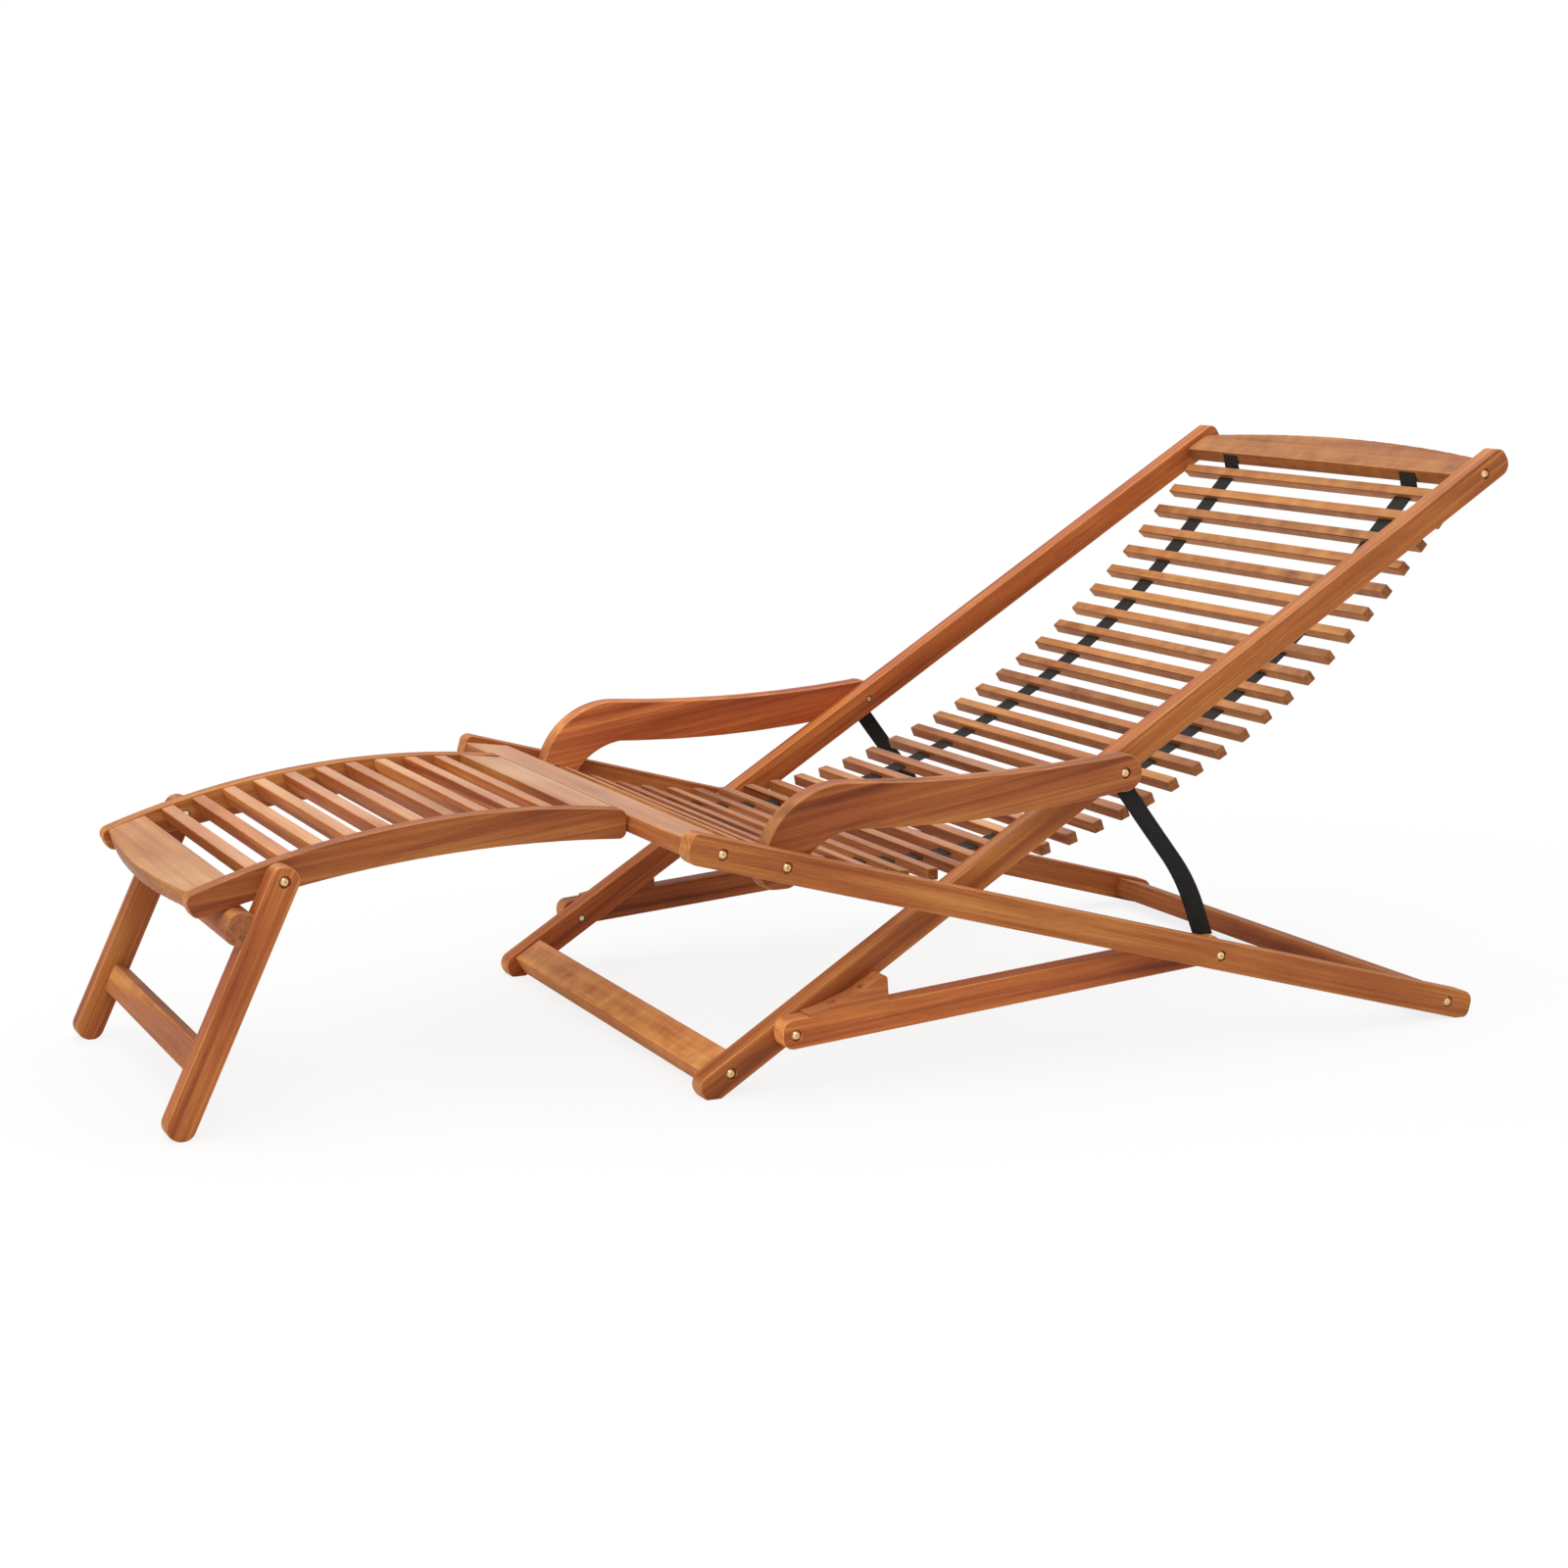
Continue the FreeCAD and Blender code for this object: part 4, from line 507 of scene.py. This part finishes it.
for index, (name, grain, tone, red) in enumerate(WOODS):
    material = wood(name + "_wood", grain, tone, red, seed=1.0 + index * SEED_STEP,
                    sawn=FLAT if grain is ACROSS else ACROSS,
                    top_sheen=by_name(TOP_SHEEN_AMOUNTS, name, USUAL_TOP_SHEEN),
                    ends=by_name(ENDS, name, USUAL_END), shaded_seam=SHADED_SEAMS.get(name))
    if name.startswith("armrest"):
        finish(name, material, ARM_RIM, (ARM_FOOT, ARM_NOSE))
    else:
        finish(name, material)

# Node name, pattern seed, tone, painted sheen on the upper faces
for name, seed, tone, top_sheen in (("sling_seat_slats", 20, 1.03, 0.42),
                                 ("sling_back_slats", 21, 0.93, 0.16)):
    finish(name, wood(name + "_wood", ACROSS, tone, 1.05, seed=seed, sawn=FLAT,
                      top_sheen=top_sheen, per_slat=True))

METALS = {"bolts": BRASS, "studs": BRASS, "screws": BRASS, "pins": BRASS, "nuts": DULL}
for name in nodes:
    word = name.rsplit("_", 1)[-1]
    if word in METALS:
        finish(name, METALS[word])


# Point in the middle of the slats at a distance along the sling, straight on past the arcs
def sling_point(distance):
    x, z = PLANK_BOLT[0] + SLING_START[0], PLANK_BOLT[1] + SLING_START[1]
    turn = -SLING_FALL
    left = distance
    for radius, length in SLING_ARCS:
        step = min(left, length)
        if step > 0:
            x += radius * (math.sin(turn + step / radius) - math.sin(turn))
            z -= radius * (math.cos(turn + step / radius) - math.cos(turn))
            turn += step / radius
            left -= step
    if left > 0:
        x += left * math.cos(turn)
        z += left * math.sin(turn)
    return Vector((x + SLAT / 2 * math.sin(turn), 0, z - SLAT / 2 * math.cos(turn)))


# Strap from closed rings of corners, each with its place, distance along and share of the width
def strap_piece(name, rings, material):
    mesh = bpy.data.meshes.new(name)
    build = bmesh.new()
    uv = build.loops.layers.uv.new("strap")
    rows = [[(build.verts.new(spot), run, share) for spot, run, share in ring] for ring in rings]
    faces = []
    for low, high in zip(rows, rows[1:]):
        for k in range(len(low)):
            after = (k + 1) % len(low)
            faces.append((low[k], low[after], high[after], high[k]))
    faces += [rows[0], rows[-1]]
    for corners in faces:
        face = build.faces.new([vertex for vertex, run, share in corners])
        for loop, (vertex, run, share) in zip(face.loops, corners):
            loop[uv].uv = (run, share)
    bmesh.ops.recalc_face_normals(build, faces=build.faces)
    build.to_mesh(mesh)
    build.free()
    mesh.shade_smooth()
    mesh.materials.append(material)
    piece = bpy.data.objects.new(name, mesh)
    bpy.context.scene.collection.objects.link(piece)
    return piece


# Corners round a strap's section as (side of the strap, share of the width), one edge to
# the other and back
def section(columns):
    return [(0.5, c) for c in columns] + [(-0.5, c) for c in reversed(columns)]


# A flat strap that follows a line of points, with its width along the chair's width
def flat_strap(name, points, offset, body):
    rings = []
    travelled = 0.0
    for index, point in enumerate(points):
        before = points[max(index - 1, 0)]
        after = points[min(index + 1, len(points) - 1)]
        tangent = (after - before).normalized()
        normal = Vector((-tangent.z, 0, tangent.x))
        if index:
            travelled += (point - before).length
        ring = []
        for level, column in section(WEB_COLUMNS):
            thin = WEB_EDGE if abs(column) == 0.5 else 1.0
            spot = point + normal * (WEB_THICK * level * thin)
            spot = spot + Vector((0, offset + WEB_WIDTH * column, 0))
            ring.append((spot, travelled, column + 0.5))
        rings.append(ring)
    piece = strap_piece(name, rings, STRAP)
    crease(piece, STRAP_CREASE)
    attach(piece, body)
    return piece


# Points from one place towards another, without the last
def between(a, b, count):
    return [a.lerp(b, k / count) for k in range(count)]


def along_sling(start, end, count):
    return [sling_point(start + (end - start) * k / count) for k in range(count + 1)]


plank_edge = Vector((PLANK_BOLT[0] + PLANK_EDGE[0], 0, PLANK_BOLT[1] + PLANK_EDGE[1]))
plank_down = Vector((-math.sin(PLANK_FALL), 0, -math.cos(PLANK_FALL)))
web_exit = plank_edge + plank_down * PLANK_THICK * PLANK_SLOT_SHARE
back_up = Vector(back_dir)
back_over = Vector((-back_up.z, 0, back_up.x))
head = Vector((HEAD_BOLT[0], 0, HEAD_BOLT[1]))
web_entry = head - back_up * HEAD_SLOT_DOWN + back_over * HEAD_SLOT_OVER
knee = (SEAT_SLATS - 0.5) * SLAT_STEP + SLAT / 2
past = (SLAT_COUNT - 1) * SLAT_STEP + SLAT + WEB_PAST
seat_line = between(web_exit - Vector(PLANK_TUCK), sling_point(0), 8)
seat_line += along_sling(0, knee, 60)
back_line = along_sling(knee, past, 90)
back_line += between(sling_point(past), web_entry, 6)[1:]
back_line += [web_entry, web_entry + back_up * HEAD_TUCK]
for word, side in (("left", 1), ("right", -1)):
    strap = flat_strap("sling_seat_strap_" + word, seat_line, side * WEB_OFFSET, "sling_seat")
    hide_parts("sling_seat_webbing")
    strap = flat_strap("sling_back_strap_" + word, back_line, side * WEB_OFFSET, "sling_back")
    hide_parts("sling_back_webbing")


# Side strap: flat webbing in the plane of the arms, straight at both ends with a soft
# corner between them, slack enough to bend to the rear
def side_strap(word, side):
    nose = Vector((ARM_NOSE[0] + SIDE_NOSE_SHIFT, 0, ARM_NOSE[1]))
    joint = Vector((STRUT_REAR[0], 0, STRUT_REAR[1]))
    top = nose + Vector((math.sin(ARM_RISE), 0, -math.cos(ARM_RISE))) * SIDE_TOP_DROP
    low = joint + Vector((-math.sin(STRUT_RISE), 0, math.cos(STRUT_RISE))) * SIDE_LOW_RISE
    chord = low - top
    rearward = Vector((-chord.z, 0, chord.x)).normalized()
    corner = top + chord * SIDE_CORNER + rearward * SIDE_CORNER_OUT
    first = top + (corner - top) * (SIDE_STRAIGHT_TOP / SIDE_CORNER)
    last = low + (corner - low) * (SIDE_STRAIGHT_LOW / (1 - SIDE_CORNER))
    line = between(top, first, 16)
    for k in range(24):
        t = k / 24
        line.append(first * (1 - t) ** 2 + corner * (2 * t * (1 - t)) + last * t ** 2)
    line += between(last, low, 8) + [low]
    width = SIDE_WIDTH / abs(chord.normalized().z)
    rings = []
    for k, centre in enumerate(line):
        t = k / (len(line) - 1)
        wave = SIDE_WAVE * math.sin(t * SIDE_WAVE_ANGLE)
        ring = []
        for level, column in section(SIDE_COLUMNS):
            thin = SIDE_EDGE if abs(column) == 0.5 else 1.0
            y = side * SIDE_OFFSET + level * WEB_THICK * thin + wave
            ring.append(((centre.x + width * column, y, centre.z),
                         t * chord.length, column + 0.5))
        rings.append(ring)
    piece = strap_piece("side_strap_piece_" + word, rings, SIDE_STRAP)
    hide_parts("side_strap_" + word)
    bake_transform(piece)


for word, side in (("left", 1), ("right", -1)):
    side_strap(word, side)


# Studio: a white floor that takes shadow only near the chair, a soft sky and four lamps
FLOOR_HALF = 14
FLOOR_GREY = (0.75, 0.75, 0.75, 1)
FLOOR_SQUEEZE = (0.75, 1.0, 0)
FLOOR_GLOW = (0.55, 1.5, 0.84, 1.0)
SKY_RISE = (0.0, 0.9, 0.24, 0.82)
SKY_TINT = (1.0, 0.995, 0.985, 1)
BRIGHT = (1, 1, 1, 1)

# Lamp name, place, aim, size, power
LAMPS = (
    ("key", (-1.3, -2.3, 2.9), (0, 0, 0.2), 1.8, 40),
    ("fill", (2.6, -2.2, 1.8), (0.2, 0, 0.2), 2.2, 14),
    ("front", (-3.3, -0.3, 1.2), (-0.3, 0, 0.2), 2.0, 26),
    ("top", (0.3, 0.9, 3.4), (0, 0, 0.2), 4.2, 80),
)


def set_range(node, values):
    for slot, value in zip(("From Min", "From Max", "To Min", "To Max"), values):
        node.inputs[slot].default_value = value


def add_floor():
    tree = Tree("studio_floor")
    out = tree.nodes["Material Output"]
    tree.shader.inputs["Base Color"].default_value = FLOOR_GREY
    tree.shader.inputs["Roughness"].default_value = 0.9
    tree.shader.inputs["Specular IOR Level"].default_value = 0.1
    glow = tree.add("ShaderNodeEmission")
    glow.inputs["Color"].default_value = BRIGHT
    glow.inputs["Strength"].default_value = 1.0
    place = tree.add("ShaderNodeTexCoord").outputs["Object"]
    squeezed = tree.vector("MULTIPLY", place, FLOOR_SQUEEZE)
    distance = tree.add("ShaderNodeVectorMath", operation="LENGTH")
    tree.join(squeezed, distance.inputs[0])
    far = tree.add("ShaderNodeMapRange", interpolation_type="SMOOTHSTEP")
    set_range(far, FLOOR_GLOW)
    tree.join(distance.outputs["Value"], far.inputs["Value"])
    camera = tree.add("ShaderNodeLightPath").outputs["Is Camera Ray"]
    mix = tree.add("ShaderNodeMixShader")
    tree.join(tree.maths("MULTIPLY", camera, far.outputs[0]), mix.inputs[0])
    tree.join(tree.shader.outputs[0], mix.inputs[1])
    tree.join(glow.outputs[0], mix.inputs[2])
    tree.join(mix.outputs[0], out.inputs[0])
    mesh = bpy.data.meshes.new("floor")
    half = FLOOR_HALF
    mesh.from_pydata([(-half, -half, 0), (half, -half, 0), (half, half, 0), (-half, half, 0)],
                     [], [(0, 1, 2, 3)])
    mesh.materials.append(tree.material)
    floor = bpy.data.objects.new("floor", mesh)
    bpy.context.scene.collection.objects.link(floor)


# Light that grows from the horizon upwards, behind a background that is plain white
def add_world():
    world = bpy.data.worlds.new("studio")
    world.use_nodes = True
    bpy.context.scene.world = world
    shade = world.node_tree
    lit = shade.nodes["Background"]
    lit.inputs["Color"].default_value = SKY_TINT
    way = shade.nodes.new("ShaderNodeTexCoord")
    height = shade.nodes.new("ShaderNodeSeparateXYZ")
    rise = shade.nodes.new("ShaderNodeMapRange")
    set_range(rise, SKY_RISE)
    shade.links.new(way.outputs["Generated"], height.inputs[0])
    shade.links.new(height.outputs[2], rise.inputs["Value"])
    shade.links.new(rise.outputs[0], lit.inputs["Strength"])
    white = shade.nodes.new("ShaderNodeBackground")
    white.inputs["Color"].default_value = BRIGHT
    white.inputs["Strength"].default_value = 1.0
    blend = shade.nodes.new("ShaderNodeMixShader")
    path = shade.nodes.new("ShaderNodeLightPath")
    shade.links.new(path.outputs["Is Camera Ray"], blend.inputs[0])
    shade.links.new(lit.outputs[0], blend.inputs[1])
    shade.links.new(white.outputs[0], blend.inputs[2])
    shade.links.new(blend.outputs[0], shade.nodes["World Output"].inputs[0])


def add_lamps():
    for name, place, aim, size, power in LAMPS:
        data = bpy.data.lights.new(name, "AREA")
        data.size = size
        data.energy = power
        lamp = bpy.data.objects.new(name, data)
        lamp.location = place
        lamp.rotation_euler = (Vector(aim) - Vector(place)).to_track_quat("-Z", "Y").to_euler()
        bpy.context.scene.collection.objects.link(lamp)


add_floor()
add_world()
add_lamps()
bpy.context.scene.view_settings.view_transform = "Standard"
